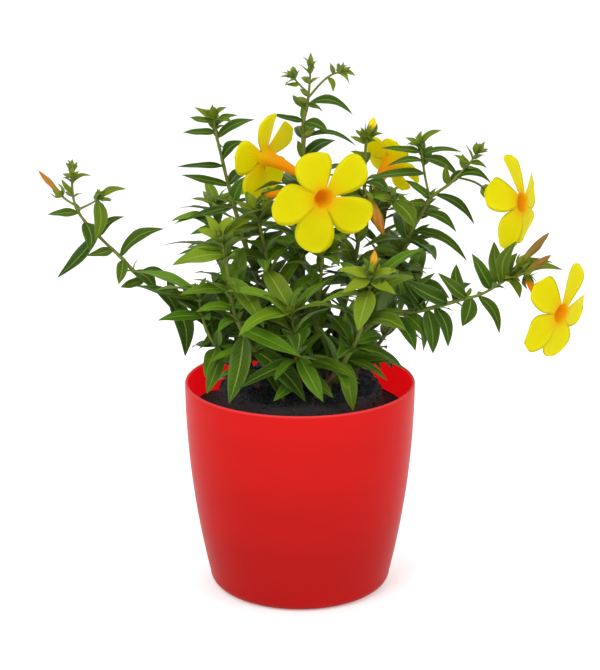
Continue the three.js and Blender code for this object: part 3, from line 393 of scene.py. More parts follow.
# Sizes of the pot and soil
POT_HEIGHT = 184
RIM_RADIUS = 99.5
WALL_TAPER = 22.3
WALL = 2.5
WALL_TOP = 182
WALL_STEPS = 24
FLOOR = 3
FOOT_RADIUS = 69.5
FOOT_EDGE = 10
FOOT_STEPS = 8
FLOOR_RADIUS = 68.5
MIDDLE = 0.001
UNDERSIDE_RADII = (MIDDLE, 20, 33, 45, 60)
FLOOR_RADII = (50, 25, MIDDLE)
FLOOR_ROUND = ((6.9, 2.6), (3.5, 0.6), (0, 0))
POT_SIDES = 120
DRAIN_HOLES = 4
DRAIN_RADIUS = 5
DRAIN_CIRCLE = 38
DRAIN_DEPTH = 12
SOIL_SIDES = 108
SOIL_GAP = 0.65
SOIL_LIFT = 0.35
SOIL_FOOT_RADII = (MIDDLE, 40, 67.3)
SOIL_WALL_HEIGHTS = (10, 22, 34, 70, 120, 150)
SOIL_EDGE_HEIGHT = 155
SOIL_RINGS = 44
MOUND_RADIUS = 77
MOUND_SLOPE = 10
MOUND_HEIGHT = 181

# The rim's rounding: in from its radius, down from its height, and shares of inside and rim.
# # The inside share also sets the painted glow, and the rim share the painted highlight.
RIM_ROUND = (
    (0.1, 1.2, 0, 0.6), (0.4, 0.5, 0, 1), (1, 0.1, 0, 1),
    (1.6, 0.1, 0.2, 1), (2.1, 0.4, 0.5, 1), (2.4, 1, 0.8, 0.6),
)

# Sizes and ways of the leaves
LEAF_FOLD = 0.22
KEPT_LENGTH = 0.994
CORNER_REACH = 0.03
TIP_SHARE = 0.1
WHORL_TWIST = 52
WHORL_DROOP = 0.22
WHORL_SEED = 20731
WHORL_JITTER = (-16, 16)
WHORL_TILT = (54, 82)
WHORL_SHARE = (0.78, 1.18)
WHORL_ROLL = (-18, 18)
WHORL_ARCH = (0.05, 0.14)

# Kinds of added leaf: degrees from the stem's heading, length, slimness and age. An axil leaf's
# length is a share of the leaf that it stands beside.
ROSETTE = dict(tilt=(10, 50), length=(6, 10), slimness=0.6, age=(0.7, 1))
TIP_ROW = dict(tilt=(35, 78), length=(8, 15), slimness=0.44, age=(0.5, 0.9))
AXIL = dict(tilt=(30, 75), length=(0.35, 0.65), slimness=0.34, age=(0.15, 0.6))
CORE_LOW = dict(tilt=(48, 100), length=(30, 62), slimness=0.28, age=(0, 0.35))
CORE_MIDDLE = {**CORE_LOW, "tilt": (48, 80)}
CORE_HIGH = {**CORE_MIDDLE, "age": (0.25, 0.6)}
CORE_LEVELS = (250, 280, 345)
CORE_REACH = 96
CORE_START = 0.08
HIGH_SHARE = 0.75
ROSETTE_STEP = 0.012
TIP_ROW_STEP = 0.07
AXIL_LEAST = 24
SWAY = 0.3
CORE_SWAY = 0.4

# Where an added leaf may not go: long ones that point at the viewer, below the open branches,
# (least radius, greatest radius, height) in and over the pot, and round the petals
LONG_LEAF = 14
TOWARDS_VIEWER = -0.5
SKIRT_HEIGHT = 250
SKIRT_REACH = 84
BOX_GAP = 3
POT_ZONES = ((-1, 1000, 165), (-1, 100, 178), (88, 106, 190))
PETAL_ZONE = (-6, 26)
PETAL_GAP = 8

# Ages and tones: where the open branches begin, whose leaves get painted shade, and how young the tips
# and short leaves are
BUSH_REACH = 70
BUSH_TOP = 310
BUSH_FADE = 40
FRESH_STEMS = {"stem_front_left": 1.0, "stem_front_right": 1.0, "stem_mid_left": 0.4}
YOUNG_LENGTH = 25
YOUNG_FADE = 18
YOUNG_TIP = 0.86
# Painted shade: how much darker the tone of a leaf on the open branches is, against the stronger light
# there
OUTER_PAINTED_SHADE = 0.7

# Sizes of the stems, calyxes and small buds
STEM_STEP = 3.0
STEM_SIDES = 10
STEM_SLIMMING = 0.25
NODE_REACH = 2.4
NODE_SWELL = 0.2
ROOT_HEIGHTS = (166, 174, 182)
ROOT_SWELL = 1.06
WOOD_FOOT = 178
WOOD_LENGTH = 95
CALYX_LENGTH = 6.5
CALYX_DEPTH = 3
PEDICEL_RADIUS = 1
PEDICEL_BEND = 0.35
PEDICEL_OVERLAP = 0.7
PEDICEL_STEPS = 8
CUP = ((-2.6, 1.25), (-1.9, 2.2), (-0.8, 2.9), (0.6, 3.3), (1.4, 3.2), (1.7, 2.7))
SEPAL = dict(length=10.5, width=4.2, arch=0.12, roll=0.0, age=0.75)
SEPAL_OUT = 1.9
SEPAL_DOWN = 2.2
SEPAL_SPREAD = 0.34
SEPAL_TURN = 0.3
SMALL_BUD_SLIMNESS = 0.21
BUD_ROUND = ((0, 0.45), (0.12, 0.8), (0.3, 1), (0.48, 0.98), (0.66, 0.72), (0.84, 0.36), (1, 0.05))

# Sizes of the blooms and flower buds. Bell rows are (depth below the throat, radius, warmth).
LOBES = 5
LOBE_STEPS = 8
RING = LOBE_STEPS * LOBES
TUBE_START = 0.35
TUBE_END_RADIUS = 0.6
TUBE_BASE_RADIUS = 2
TUBE_WAIST_RADIUS = 3.8
TUBE_WAIST = 0.35
TUBE_SHARES = (0.0, 0.1, 0.2, 0.3, 0.45, 0.6, 0.75, 0.9)
BELL_RADIUS = 5.2
BELL_LENGTH = 14
OUTER_BELL = ((14, 5.2, 0.75), (10, 5.6, 0.6), (6, 6.3, 0.48), (3, 7.3, 0.4), (1.2, 8.2, 0.36))
INNER_BELL = ((1.2, 7.9, 0.62), (3, 7.0, 0.75), (6, 5.9, 0.9), (10, 4.6, 1.0), (12.6, 2.6, 1.1))
INNER_END = (13.4, 0.5, 1.2)
PLEAT = 0.035
PLEATED_RADIUS = 8.5
THROAT_RADIUS = 9
THROAT_DEEP = 0.42
BACK_DEEP = 0.36
LOBE_ROWS = 13
LOBE_SWAY = 5
LOBE_CURL = 10
LOBE_WAIST = 0.58
LOBE_FULLNESS = 1.06
LOBE_LEAN = 0.04
LOBE_SKEW = 0.1
LOBE_RIPPLE = 0.02
LOBE_TWIST = 0.09
LOBE_CUP = 0.1
LOBE_FLATTENING = 0.45
PETAL_HALF = 0.35
GROOVE_DEPTH = 0.5
GROOVE_WIDTH = 0.25
BUD_SIDES = 20
BUD_RINGS = 18
BUD_PLACES = (0.0, 0.25, 0.55, 0.85, 1.0)
BUD_TWIST = 2.2
BUD_CREST = 0.09


# Node trees


class Field:
    """A value inside a node tree, with the usual arithmetic."""

    def __init__(self, tree, socket):
        self.tree = tree
        self.socket = socket

    def math(self, operation, *others):
        node = self.tree.nodes.new("ShaderNodeMath")
        node.operation = operation
        for slot, value in zip(node.inputs, (self, *others)):
            feed(self.tree, slot, value)
        return Field(self.tree, node.outputs[0])

    __add__ = partialmethod(math, "ADD")
    __sub__ = partialmethod(math, "SUBTRACT")
    __mul__ = partialmethod(math, "MULTIPLY")
    __truediv__ = partialmethod(math, "DIVIDE")
    __pow__ = partialmethod(math, "POWER")
    abs = partialmethod(math, "ABSOLUTE")
    sin = partialmethod(math, "SINE")
    cos = partialmethod(math, "COSINE")
    fraction = partialmethod(math, "FRACT")
    least = partialmethod(math, "MINIMUM")
    most = partialmethod(math, "MAXIMUM")
    over = partialmethod(math, "GREATER_THAN")

    def inverse(self):
        return self * -1 + 1

    def clamped(self):
        return self.most(0).least(1)

    def eased(self, low, high):
        """0 below low, 1 above high, with soft ends between them."""
        share = ((self - low) / (high - low)).clamped()
        return share * share * (share * -2 + 3)


def feed(tree, socket, value):
    """Links a field to a socket, or sets the socket's own value."""
    if isinstance(value, Field):
        tree.links.new(value.socket, socket)
    else:
        socket.default_value = value


def slot_of(sockets, key):
    if isinstance(key, int):
        return sockets[key]
    return next(s for s in sockets if s.name == key and s.enabled)


class Nodes:
    """A node tree under construction."""

    def put(self, kind, inputs=None, out=0, **words):
        """Adds a node and returns one of its outputs.

        Inputs go by name or number. A word with a capital feeds the input of that name, and
        the other words are the node's own settings.
        """
        node = self.tree.nodes.new(kind)
        fed = dict(inputs or {})
        for word, value in words.items():
            if word[0].isupper():
                fed[word.replace("_", " ")] = value
            else:
                setattr(node, word, value)
        for key, value in fed.items():
            for each in value if isinstance(value, list) else [value]:
                feed(self.tree, slot_of(node.inputs, key), each)
        return Field(self.tree, slot_of(node.outputs, out))

    def parts(self, vector):
        node = self.tree.nodes.new("ShaderNodeSeparateXYZ")
        feed(self.tree, node.inputs[0], vector)
        return [Field(self.tree, output) for output in node.outputs]

    def joined(self, x, y, z):
        return self.put("ShaderNodeCombineXYZ", X=x, Y=y, Z=z)


def label(key):
    return key.replace("_", " ").capitalize()


class Growth(Nodes):
    """A Geometry Nodes tree under construction, with a field for each of its named inputs."""

    def __init__(self, name, **inputs):
        self.tree = bpy.data.node_groups.new(name, "GeometryNodeTree")
        self.socket("geometry", "NodeSocketGeometry", in_out="OUTPUT")
        self.socket("geometry", "NodeSocketGeometry")
        for key, value in inputs.items():
            kind = "NodeSocketInt" if isinstance(value, int) else "NodeSocketFloat"
            self.socket(key, kind).default_value = value
        self.socket("material", "NodeSocketMaterial")
        entry = self.tree.nodes.new("NodeGroupInput")
        names = ("geometry", *inputs, "material")
        self.inputs = {key: Field(self.tree, slot) for key, slot in zip(names, entry.outputs)}

    def socket(self, key, kind, in_out="INPUT"):
        return self.tree.interface.new_socket(label(key), in_out=in_out, socket_type=kind)

    def __getitem__(self, key):
        return self.inputs[key]

    def geo(self, kind, out=0, **words):
        return self.put("GeometryNode" + kind, out=out, **words)

    def position(self):
        return self.geo("InputPosition")

    def named(self, name, kind="FLOAT"):
        return self.geo("InputNamedAttribute", Name=name, data_type=kind)

    def stored(self, geometry, name, value, kind="FLOAT", domain="POINT"):
        words = {"Geometry": geometry, "Name": name, "Value": value}
        return self.geo("StoreNamedAttribute", **words, data_type=kind, domain=domain)

    def moved(self, geometry, **words):
        """Points moved by an Offset or to a Position."""
        return self.geo("SetPosition", Geometry=geometry, **words)

    def realized(self, geometry):
        return self.geo("RealizeInstances", Geometry=geometry)

    def finished(self, geometry):
        """Ends the tree in smooth faces, Realize Instances and Set Material."""
        plain = self.realized(self.geo("SetShadeSmooth", Geometry=geometry))
        painted = self.geo("SetMaterial", Geometry=plain, Material=self["material"])
        end = self.tree.nodes.new("NodeGroupOutput")
        feed(self.tree, end.inputs[0], painted)
        return self.tree


# Meshes


def seed_mesh(name, points, edges=(), faces=(), **values):
    """Points in millimetres, with a named value or vector on each, as a mesh in metres."""
    mesh = bpy.data.meshes.new(name)
    mesh.from_pydata([tuple(Vector(p) * MM) for p in points], list(edges), list(faces))
    for key, column in values.items():
        flat = np.array(column, np.float32)
        kind, field = ("FLOAT", "value") if flat.ndim == 1 else ("FLOAT_VECTOR", "vector")
        mesh.attributes.new(key, kind, "POINT").data.foreach_set(field, flat.ravel())
    return mesh


def grown(name, mesh, tree, material, **values):
    """The plain mesh object that a node tree makes from a starting mesh."""
    carrier = bpy.data.objects.new(name + "_start", mesh)
    bpy.context.scene.collection.objects.link(carrier)
    modifier = carrier.modifiers.new("Shape", "NODES")
    modifier.node_group = tree
    wanted = {label(key): value for key, value in values.items()}
    wanted["Material"] = material
    for item in tree.interface.items_tree:
        if item.in_out == "INPUT" and item.name in wanted:
            modifier[item.identifier] = wanted[item.name]
    graph = bpy.context.evaluated_depsgraph_get()
    made = bpy.data.meshes.new_from_object(carrier.evaluated_get(graph), depsgraph=graph)
    bpy.data.objects.remove(carrier)
    bpy.data.meshes.remove(mesh)
    if not made.polygons:
        raise RuntimeError(name + ": its node tree made no faces")
    return linked(name, made)


def linked(name, mesh):
    mesh.name = name
    piece = bpy.data.objects.new(name, mesh)
    bpy.context.scene.collection.objects.link(piece)
    return piece


def weld(mesh, distance):
    """Merges a mesh's doubles and turns its faces outwards."""
    work = bmesh.new()
    work.from_mesh(mesh)
    bmesh.ops.remove_doubles(work, verts=work.verts, dist=distance * MM)
    bmesh.ops.recalc_face_normals(work, faces=work.faces)
    work.to_mesh(mesh)
    work.free()


def plain_piece(name, points, faces, material, **values):
    """A smooth mesh object from points in millimetres, with its doubles merged."""
    mesh = seed_mesh(name, points, faces=faces, **values)
    weld(mesh, 0.002)
    mesh.shade_smooth()
    mesh.materials.append(material)
    return linked(name, mesh)


def ring_faces(rings, sides):
    """Quads between closed rings of points that follow one another."""
    faces = []
    for start in range(0, (rings - 1) * sides, sides):
        for k in range(sides):
            a, b = start + k, start + (k + 1) % sides
            faces.append((a, b, b + sides, a + sides))
    return faces


def turned_piece(name, rows, sides, material, top=None):
    """A body of rings from (radius, height). Where a height is None, top gives it at x and y."""
    points = []
    for radius, height in rows:
        for k in range(sides):
            angle = 2 * math.pi * k / sides
            x, y = radius * math.cos(angle), radius * math.sin(angle)
            points.append((x, y, top(x, y) if height is None else height))
    return plain_piece(name, points, ring_faces(len(rows), sides), material)


def settle(piece, slot, *nodes):
    """Puts a finished piece on the part's one body, in place of its solids."""
    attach(piece, "root")
    if nodes:
        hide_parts(*nodes)


# Finishes


class Finish(Nodes):
    """A material under construction."""

    def __init__(self, name):
        self.material = bpy.data.materials.new(name)
        self.material.use_nodes = True
        self.tree = self.material.node_tree
        self.tree.nodes.clear()

    def value(self, name):
        words = {"attribute_name": name, "attribute_type": "GEOMETRY"}
        return self.put("ShaderNodeAttribute", out="Fac", **words)

    def place(self):
        return self.put("ShaderNodeTexCoord", out="Object")

    def scaled(self, *scale):
        return self.put("ShaderNodeMapping", Vector=self.place(), Scale=scale)

    def noise(self, scale, detail=3.0, rough=0.55, where=None):
        words = {"Scale": scale, "Detail": detail, "Roughness": rough}
        return self.put("ShaderNodeTexNoise", Vector=where or self.place(), **words)

    def mix(self, share, low, high):
        inputs = {0: share, 6: shade(low), 7: shade(high)}
        return self.put("ShaderNodeMix", inputs, out=2, data_type="RGBA")

    def bump(self, height, strength, distance):
        return self.put("ShaderNodeBump", Height=height, Strength=strength, Distance=distance)

    def body(self, colour, roughness, **words):
        return self.put(
            "ShaderNodeBsdfPrincipled", Base_Color=colour, Roughness=roughness, **words
        )

    def lit_through(self, body, colour, share):
        """A thin body with a share of soft light through it."""
        glow = self.put("ShaderNodeBsdfTranslucent", Color=colour)
        return self.put("ShaderNodeMixShader", {0: share, 1: body, 2: glow})

    def surface(self, shader):
        end = self.tree.nodes.new("ShaderNodeOutputMaterial")
        feed(self.tree, end.inputs["Surface"], shader)
        return self.material


def shade(colour):
    return colour if isinstance(colour, Field) else (*colour[:3], 1.0)


def leaf_finish(look):
    """Satin leaf: light midrib and side veins, pale underside, young leaves yellow-green, and
    painted shade on the open branches' leaves through their tone.
    """
    f = Finish("allamanda_leaf")
    across, along, _ = f.parts(f.put("ShaderNodeUVMap", uv_map="UVMap"))
    side = (across * 2 - 1).abs()
    tone, age, under = f.value("tone"), f.value("age"), f.value("under")
    cloud = f.noise(55.0)
    # The tone holds painted shade for the leaves of the open branches
    mottle = (cloud - 0.5) * 0.9 + tone
    green = f.mix(mottle.clamped(), look.dark, look.light)
    green = f.mix(age, green, look.young)
    vein = ((along * 13 - side * 2.6).fraction() - 0.5).abs() * 2
    vein = vein**9 * side.inverse().eased(0.0, 0.5)
    rib = side.eased(0.035, 0.11).inverse()
    light = (rib * 0.55).most(vein * 0.3)
    green = f.mix(light, green, look.rib)
    green = f.mix(under * 0.72, green, look.underside)
    rough = (cloud - 0.5) * 0.2 + under * 0.18 + look.roughness
    relief = (rib * -0.8 - vein * 0.6) * (under * -2 + 1) + cloud * 0.25
    body = f.body(green, rough, Specular_IOR_Level=0.08, Normal=f.bump(relief, 0.5, 0.0007))
    return f.surface(f.lit_through(body, f.mix(0.6, green, look.young), 0.2))


def stem_finish(look):
    """Young stem green that turns to brown bark towards the soil."""
    f = Finish("allamanda_stem")
    grain = f.noise(170.0, 4.0, 0.6)
    green = f.mix(grain, look.stem_dark, look.stem_light)
    bark = f.mix(grain, look.bark_dark, look.bark_light)
    blend = ((grain - 0.5) * 0.5 + f.value("wood")).eased(0.45, 0.8)
    colour = f.mix(blend, green, bark)
    relief = f.bump(grain, 0.6, 0.0008)
    return f.surface(
        f.body(colour, blend * 0.25 + 0.45, Specular_IOR_Level=0.15, Normal=relief)
    )


def petal_finish(look):
    """Yellow petal with an orange throat, fine nectar lines, soft light through it and a painted
    glow of its own colour, which lifts the shaded backs.
    """
    f = Finish("allamanda_petal")
    deep, ray, rim = f.value("deep"), f.value("ray"), f.value("rim")
    cloud = f.noise(120.0)
    line = ((ray * 9).fraction() - 0.5).abs() * 2
    streak = line**3 * deep.eased(0.02, 0.5) * deep.eased(0.75, 1.0).inverse()
    yellow = f.mix((cloud - 0.5) * 0.7 + 0.4, look.petal_deep, look.petal)
    yellow = f.mix(rim * 0.55, yellow, look.petal_edge)
    warm = (deep + streak * 0.35).eased(0.18, 0.85)
    colour = f.mix(warm, yellow, look.throat)
    colour = f.mix(deep.eased(0.8, 1.1) * 0.7, colour, look.throat_deep)
    body = f.body(
        colour,
        (cloud - 0.5) * 0.2 + 0.5,
        Specular_IOR_Level=0.08,
        # Painted glow: the petal gives off light of its own colour, which brightens its shaded backs
        Emission_Color=colour,
        Emission_Strength=0.34,
        Normal=f.bump(line * 0.35 + cloud, 0.35, 0.0006),
    )
    return f.surface(f.lit_through(body, colour, 0.55))


def bud_finish(look):
    """Flower bud: brown, orange or gold as it warms, with twisted folds and a green foot."""
    f = Finish("allamanda_bud")
    along, fold, warm = f.value("along"), f.value("fold"), f.value("warm")
    cloud = f.noise(160.0, 4.0)
    brown = f.mix(cloud, look.bud_brown, look.bud_dull)
    orange = f.mix(cloud, look.bud_orange, look.bud_light)
    colour = f.mix(warm, brown, orange)
    colour = f.mix(warm - 1, colour, look.bud_gold)
    colour = f.mix(fold * 0.45, colour, look.bud_fold)
    colour = f.mix(along.eased(0.05, 0.55).inverse() * 0.8, colour, look.bud_foot)
    relief = f.bump(cloud, 0.5, 0.0006)
    return f.surface(f.body(colour, cloud * 0.2 + 0.38, Specular_IOR_Level=0.12, Normal=relief))


def pot_finish(look):
    """Satin moulded plastic, a little deeper in colour inside, with painted shade towards the foot,
    a painted highlight on the rim and a painted glow inside the wall.
    """
    f = Finish("pot_plastic")
    _, _, z = f.parts(f.place())
    height = z / (POT_HEIGHT * MM)
    flow = f.noise(7.0, 3.0, 0.5, f.scaled(1, 1, 4))
    grain = f.noise(900.0, 2.0)
    # Painted shade: by height, the outside goes darker towards the foot and lighter towards the rim,
    # with random flow marks
    red = f.mix((flow - 0.5) * 0.8 + height.eased(0.1, 1.0) * 0.8, look.pot_painted_shade, look.pot)
    red = f.mix(f.value("inside") * 0.8, red, look.pot_inside)
    # Painted highlight along the rim's rounded top edge
    red = f.mix(f.value("rim") * 0.35, red, look.pot_rim_highlight)
    body = f.body(
        red,
        (flow - 0.5) * 0.14 + (grain - 0.5) * 0.06 + look.gloss_spread,
        Specular_IOR_Level=0.04,
        # Painted glow: the inside of the wall gives off its own red light, in place of light through
        # the thin plastic
        Emission_Color=red,
        Emission_Strength=f.value("inside") * look.inside_painted_glow,
        Normal=f.bump(flow * 0.5 + grain * 0.1, 0.25, 0.0006),
    )
    return f.surface(body)


def soil_finish(look):
    """Damp, nearly black soil with lighter fibres and crumbs."""
    f = Finish("potting_soil")
    lump = f.noise(90.0, 6.0, 0.65)
    crumb = f.noise(420.0, 4.0, 0.6)
    fibre = f.noise(260.0, 2.0, 0.5)
    colour = f.mix(lump, look.soil_dark, look.soil_light)
    colour = f.mix(crumb.eased(0.56, 0.72) * 0.5, colour, look.soil_crumb)
    colour = f.mix(fibre.eased(0.66, 0.72) * 0.45, colour, look.soil_fibre)
    relief = f.bump(lump + crumb * 0.7, 0.9, 0.002)
    return f.surface(f.body(colour, crumb * 0.25 + 0.72, Normal=relief))


def paper_finish(look):
    """Pale matt paper for the floor, lit a little from below, which keeps it white."""
    f = Finish("studio_floor")
    colour = f.mix(f.noise(3.0, 2.0) * 0.25, look.floor, look.floor_cloud)
    white = (1.0, 1.0, 1.0, 1.0)
    return f.surface(
        f.body(colour, 0.9, Emission_Color=white, Emission_Strength=look.floor_glow)
    )


# The plant's lines


def heading(turn, forward):
    """A direction from its turn in the X-Z plane and how far it leans to -Y, in degrees."""
    turn, forward = math.radians(turn), math.radians(forward)
    flat = math.cos(forward)
    return Vector((flat * math.cos(turn), -math.sin(forward), flat * math.sin(turn)))


def curve_point(points, share):
    """A point of the smooth curve through the points, for a share from 0 to 1."""
    spans = len(points) - 1
    place = min(max(share, 0.0), 1.0) * spans
    i = min(int(place), spans - 1)
    w = place - i
    a, b = points[i], points[i + 1]
    before = points[i - 1] if i else a * 2 - b
    after = points[i + 2] if i + 2 <= spans else b * 2 - a
    start, end = (b - before) / 2, (after - a) / 2
    square = b * 3 - a * 3 - start * 2 - end
    cube = a * 2 - b * 2 + start + end
    return a + start * w + square * (w * w) + cube * (w * w * w)


def bezier(a, b, c, share):
    return a * (1 - share) ** 2 + b * (2 * share * (1 - share)) + c * share**2


def path_length(points):
    return sum((b - a).length for a, b in zip(points, points[1:]))


def around(tangent, angle):
    """The way out of a stem at an angle round its heading."""
    right = tangent.cross(Vector((0, 1, 0))).normalized()
    return right * math.cos(angle) + tangent.cross(right) * math.sin(angle)


def square_to(way):
    return way.cross(UP if abs(way.z) < 0.9 else Vector((1, 0, 0))).normalized()


class Axis:
    """A stem's middle line: straight samples as the solid has them, and the smooth curve."""

    def __init__(self, data, main=None):
        own = [Vector(p) for p in data["points"]]
        points = ([main.along(data["start"])[0]] if main else []) + own
        self.data = data
        self.last = len(points) - 1
        self.count = self.last * data.get("steps", 1)
        self.samples = [curve_point(points, i / self.count) for i in range(self.count + 1)]
        self.points = ([main.fine(data["start"])] if main else []) + own
        self.is_main = main is None

    def along(self, at):
        """The solid's point and heading at a point number."""
        place = min(max(at / self.last * self.count, 0), self.count - TIP_SHARE)
        i = int(place)
        a, b = self.samples[i], self.samples[i + 1]
        return a.lerp(b, place - i), (b - a).normalized()

    def fine(self, at):
        """The smooth curve's point at a point number."""
        return curve_point(self.points, min(at / self.last, 1 - TIP_SHARE / self.count))

    def radius(self, at):
        foot, tip = self.data["radius"]
        return foot + (tip - foot) * min(max(at / self.last, 0), 1)


class Draws:
    """Repeatable draws, the same as in the part's own source."""

    def __init__(self, seed):
        self.state = seed

    def between(self, low, high):
        self.state = self.state * 16807 % 2147483647
        return low + (high - low) * self.state / 2147483647


def placed_leaves(axis):
    """The leaves that an axis asks for one by one."""
    for at, turn, forward, length, width, arch in axis.data.get("leaves", ()):
        foot, tangent = axis.along(at)
        yield dict(
            at=at,
            foot=foot,
            tangent=tangent,
            direction=heading(turn, forward),
            facing=Vector((0, -0.8, 1)),
            length=length,
            width=width,
            arch=arch,
            roll=0.0,
        )


def whorl_leaves(axis, draws):
    """The leaves that stand in rows round an axis."""
    for first, last, rows, count, length, width in axis.data.get("whorls", ()):
        for row in range(rows):
            at = first + (last - first) * row / max(rows - 1, 1)
            foot, tangent = axis.along(at)
            for k in range(count):
                jitter = draws.between(*WHORL_JITTER)
                away = around(tangent, math.radians(360 * k / count + WHORL_TWIST * row + jitter))
                tilt = math.radians(draws.between(*WHORL_TILT))
                share = draws.between(*WHORL_SHARE)
                roll = math.radians(draws.between(*WHORL_ROLL))
                way = tangent * math.cos(tilt) + away * math.sin(tilt) - UP * WHORL_DROOP
                yield dict(
                    at=at,
                    foot=foot,
                    tangent=tangent,
                    direction=way.normalized(),
                    facing=UP + tangent * 0.6 + away * 0.8,
                    length=share * length,
                    width=share * width,
                    arch=draws.between(*WHORL_ARCH),
                    roll=roll,
                )


def nudged(leaf, nudge):
    turn, lift, share = nudge
    way = Quaternion(leaf["tangent"], math.radians(turn)) @ leaf["direction"]
    way = (way + UP * math.tan(math.radians(lift))).normalized()
    sizes = {"length": leaf["length"] * share, "width": leaf["width"] * share}
    return {**leaf, "direction": way, **sizes}


class Corners:
    """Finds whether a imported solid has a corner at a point."""

    def __init__(self, node):
        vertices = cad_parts[node].data.vertices
        self.tree = kdtree.KDTree(len(vertices))
        for i, vertex in enumerate(vertices):
            self.tree.insert(vertex.co / MM, i)
        self.tree.balance()

    def has(self, point):
        return self.tree.find(point)[2] < CORNER_REACH


def tip_of(leaf):
    return leaf["foot"] + leaf["direction"] * leaf["length"]


def kept_leaf(leaf, corners):
    """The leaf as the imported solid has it, found by its tip, or nothing where it was left out."""
    tries = (nudged(leaf, nudge) for nudge in NUDGES)
    return next((tried for tried in tries if corners.has(tip_of(tried))), None)


def laid_plant():
    """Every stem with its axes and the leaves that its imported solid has."""
    stems = {}
    for name, rows in PLANT.items():
        main = Axis(rows[0])
        stems[name] = {"axes": [main] + [Axis(row, main) for row in rows[1:]], "leaves": []}
    draws = Draws(WHORL_SEED)
    lost = 0
    for leaves_of in (placed_leaves, lambda axis: whorl_leaves(axis, draws)):
        for name, stem in stems.items():
            corners = Corners(name)
            for axis in stem["axes"]:
                for wanted in leaves_of(axis):
                    leaf = kept_leaf(wanted, corners)
                    if not leaf:
                        lost += 1
                        continue
                    foot = axis.fine(leaf["at"])
                    way = tip_of(leaf) - foot
                    leaf.update(foot=foot, direction=way.normalized(), length=way.length, axis=axis)
                    stem["leaves"].append(leaf)
    total = sum(len(stem["leaves"]) for stem in stems.values())
    print("leaves found in the solids:", total, "not found:", lost)
    if lost > total / 20:
        raise RuntimeError("the packed stems don't hold the leaves of the tables")
    return stems


# Leaves


def leaf_tree():
    """Folded, arched blades with a closed underside, one on each starting point."""
    g = Growth(
        "leaf_blades", columns=7, rows=13, thickness=0.0004, rib=0.0005, fold=LEAF_FOLD, wave=0.045
    )
    grid = g.geo(
        "MeshGrid", Size_X=2.0, Size_Y=1.0, Vertices_X=g["columns"], Vertices_Y=g["rows"]
    )
    s, y, _ = g.parts(g.position())
    t = y + 0.5
    grid = g.stored(grid, "across", s)
    grid = g.stored(grid, "along", t)
    grid = g.stored(grid, "UVMap", g.joined(s * 0.5 + 0.5, t, 0.0), "FLOAT2", "CORNER")
    border = g.geo("InputMeshEdgeNeighbors", out="Face Count").math("LESS_THAN", 1.5)
    grid = g.stored(grid, "sharp_edge", border, "BOOLEAN", "EDGE")
    across, along = g.named("across"), g.named("along")
    outline = along**0.62 * along.inverse() * 2.94 * along.eased(0.0, 0.1)
    half = outline.most(along.inverse() * 0.07)
    middle = (across.abs() * 3).least(1).inverse()
    swell = (across * across).inverse() * g["thickness"] * 0.5
    sides = []
    for sign, rib_share in ((1, 0.4), (-1, 1.0)):
        sheet = g.stored(grid, "under", float(sign < 0))
        depth = swell * sign - middle * along.inverse() * g["rib"] * rib_share
        shaped = g.moved(sheet, Position=g.joined(across * half * 0.5, along, depth))
        sides.append(g.geo("FlipFaces", Mesh=shaped) if sign < 0 else shaped)
    blade = g.geo("MergeByDistance", Geometry=g.geo("JoinGeometry", Geometry=sides), Distance=0.00001)
    turn = g.put("FunctionNodeEulerToRotation", Euler=g.named("turn", "FLOAT_VECTOR"))
    width, length = g.named("width"), g.named("length")
    size = g.joined(width, length, 1.0)
    placed = g.geo(
        "InstanceOnPoints", Points=g["geometry"], Instance=blade, Rotation=turn, Scale=size
    )
    reach = across.abs() * half * width * 0.5
    arch = g.named("arch") * length * along * along.inverse() * 4
    roll, tone = g.named("roll"), g.named("tone")
    ripple = (along * 11 + tone * 40 + across * 1.5).sin() * g["wave"] * width
    ripple = ripple * across * across * along.inverse().eased(0.0, 0.35)
    sickle = (tone - 0.5) * 0.12 * length * (along * math.pi).sin()
    lift = arch * roll.cos() + reach * g["fold"] + ripple
    local = g.joined(arch * roll.sin() + sickle, 0.0, lift)
    offset = g.put("FunctionNodeRotateVector", Vector=local, Rotation=turn)
    return g.finished(g.moved(g.realized(placed), Offset=offset))


def leaf_piece(name, leaves, tree, material):
    """One object for all the leaves in a list."""
    turns = []
    for leaf in leaves:
        way = leaf["direction"]
        across = way.cross(leaf["facing"]).normalized()
        lift = across.cross(way)
        side = across * math.cos(leaf["roll"]) + lift * math.sin(leaf["roll"])
        turns.append(tuple(Matrix((side, way, side.cross(way))).transposed().to_euler()))
    mesh = seed_mesh(
        name,
        [leaf["foot"] for leaf in leaves],
        turn=turns,
        width=[leaf["width"] * MM for leaf in leaves],
        length=[leaf["length"] * KEPT_LENGTH * MM for leaf in leaves],
        **{key: [leaf[key] for leaf in leaves] for key in ("arch", "roll", "tone", "age")},
    )
    return grown(name, mesh, tree, material)


def new_leaf(axis, at, away, chance, tilt, length, slimness, age, scale=1):
    """A leaf that stands out of an axis along away, tilted from the stem's own heading."""
    tilt = math.radians(chance.uniform(*tilt))
    length = chance.uniform(*length) * scale
    age = chance.uniform(*age)
    tangent = axis.along(at)[1]
    return dict(
        foot=axis.fine(at),
        direction=(tangent * math.cos(tilt) + away * math.sin(tilt)).normalized(),
        facing=UP + tangent * 0.6 + away * 0.8,
        length=length,
        width=length * slimness,
        arch=chance.uniform(0.04, 0.14),
        roll=math.radians(chance.uniform(-25, 25)),
        tone=chance.random(),
        age=age,
    )


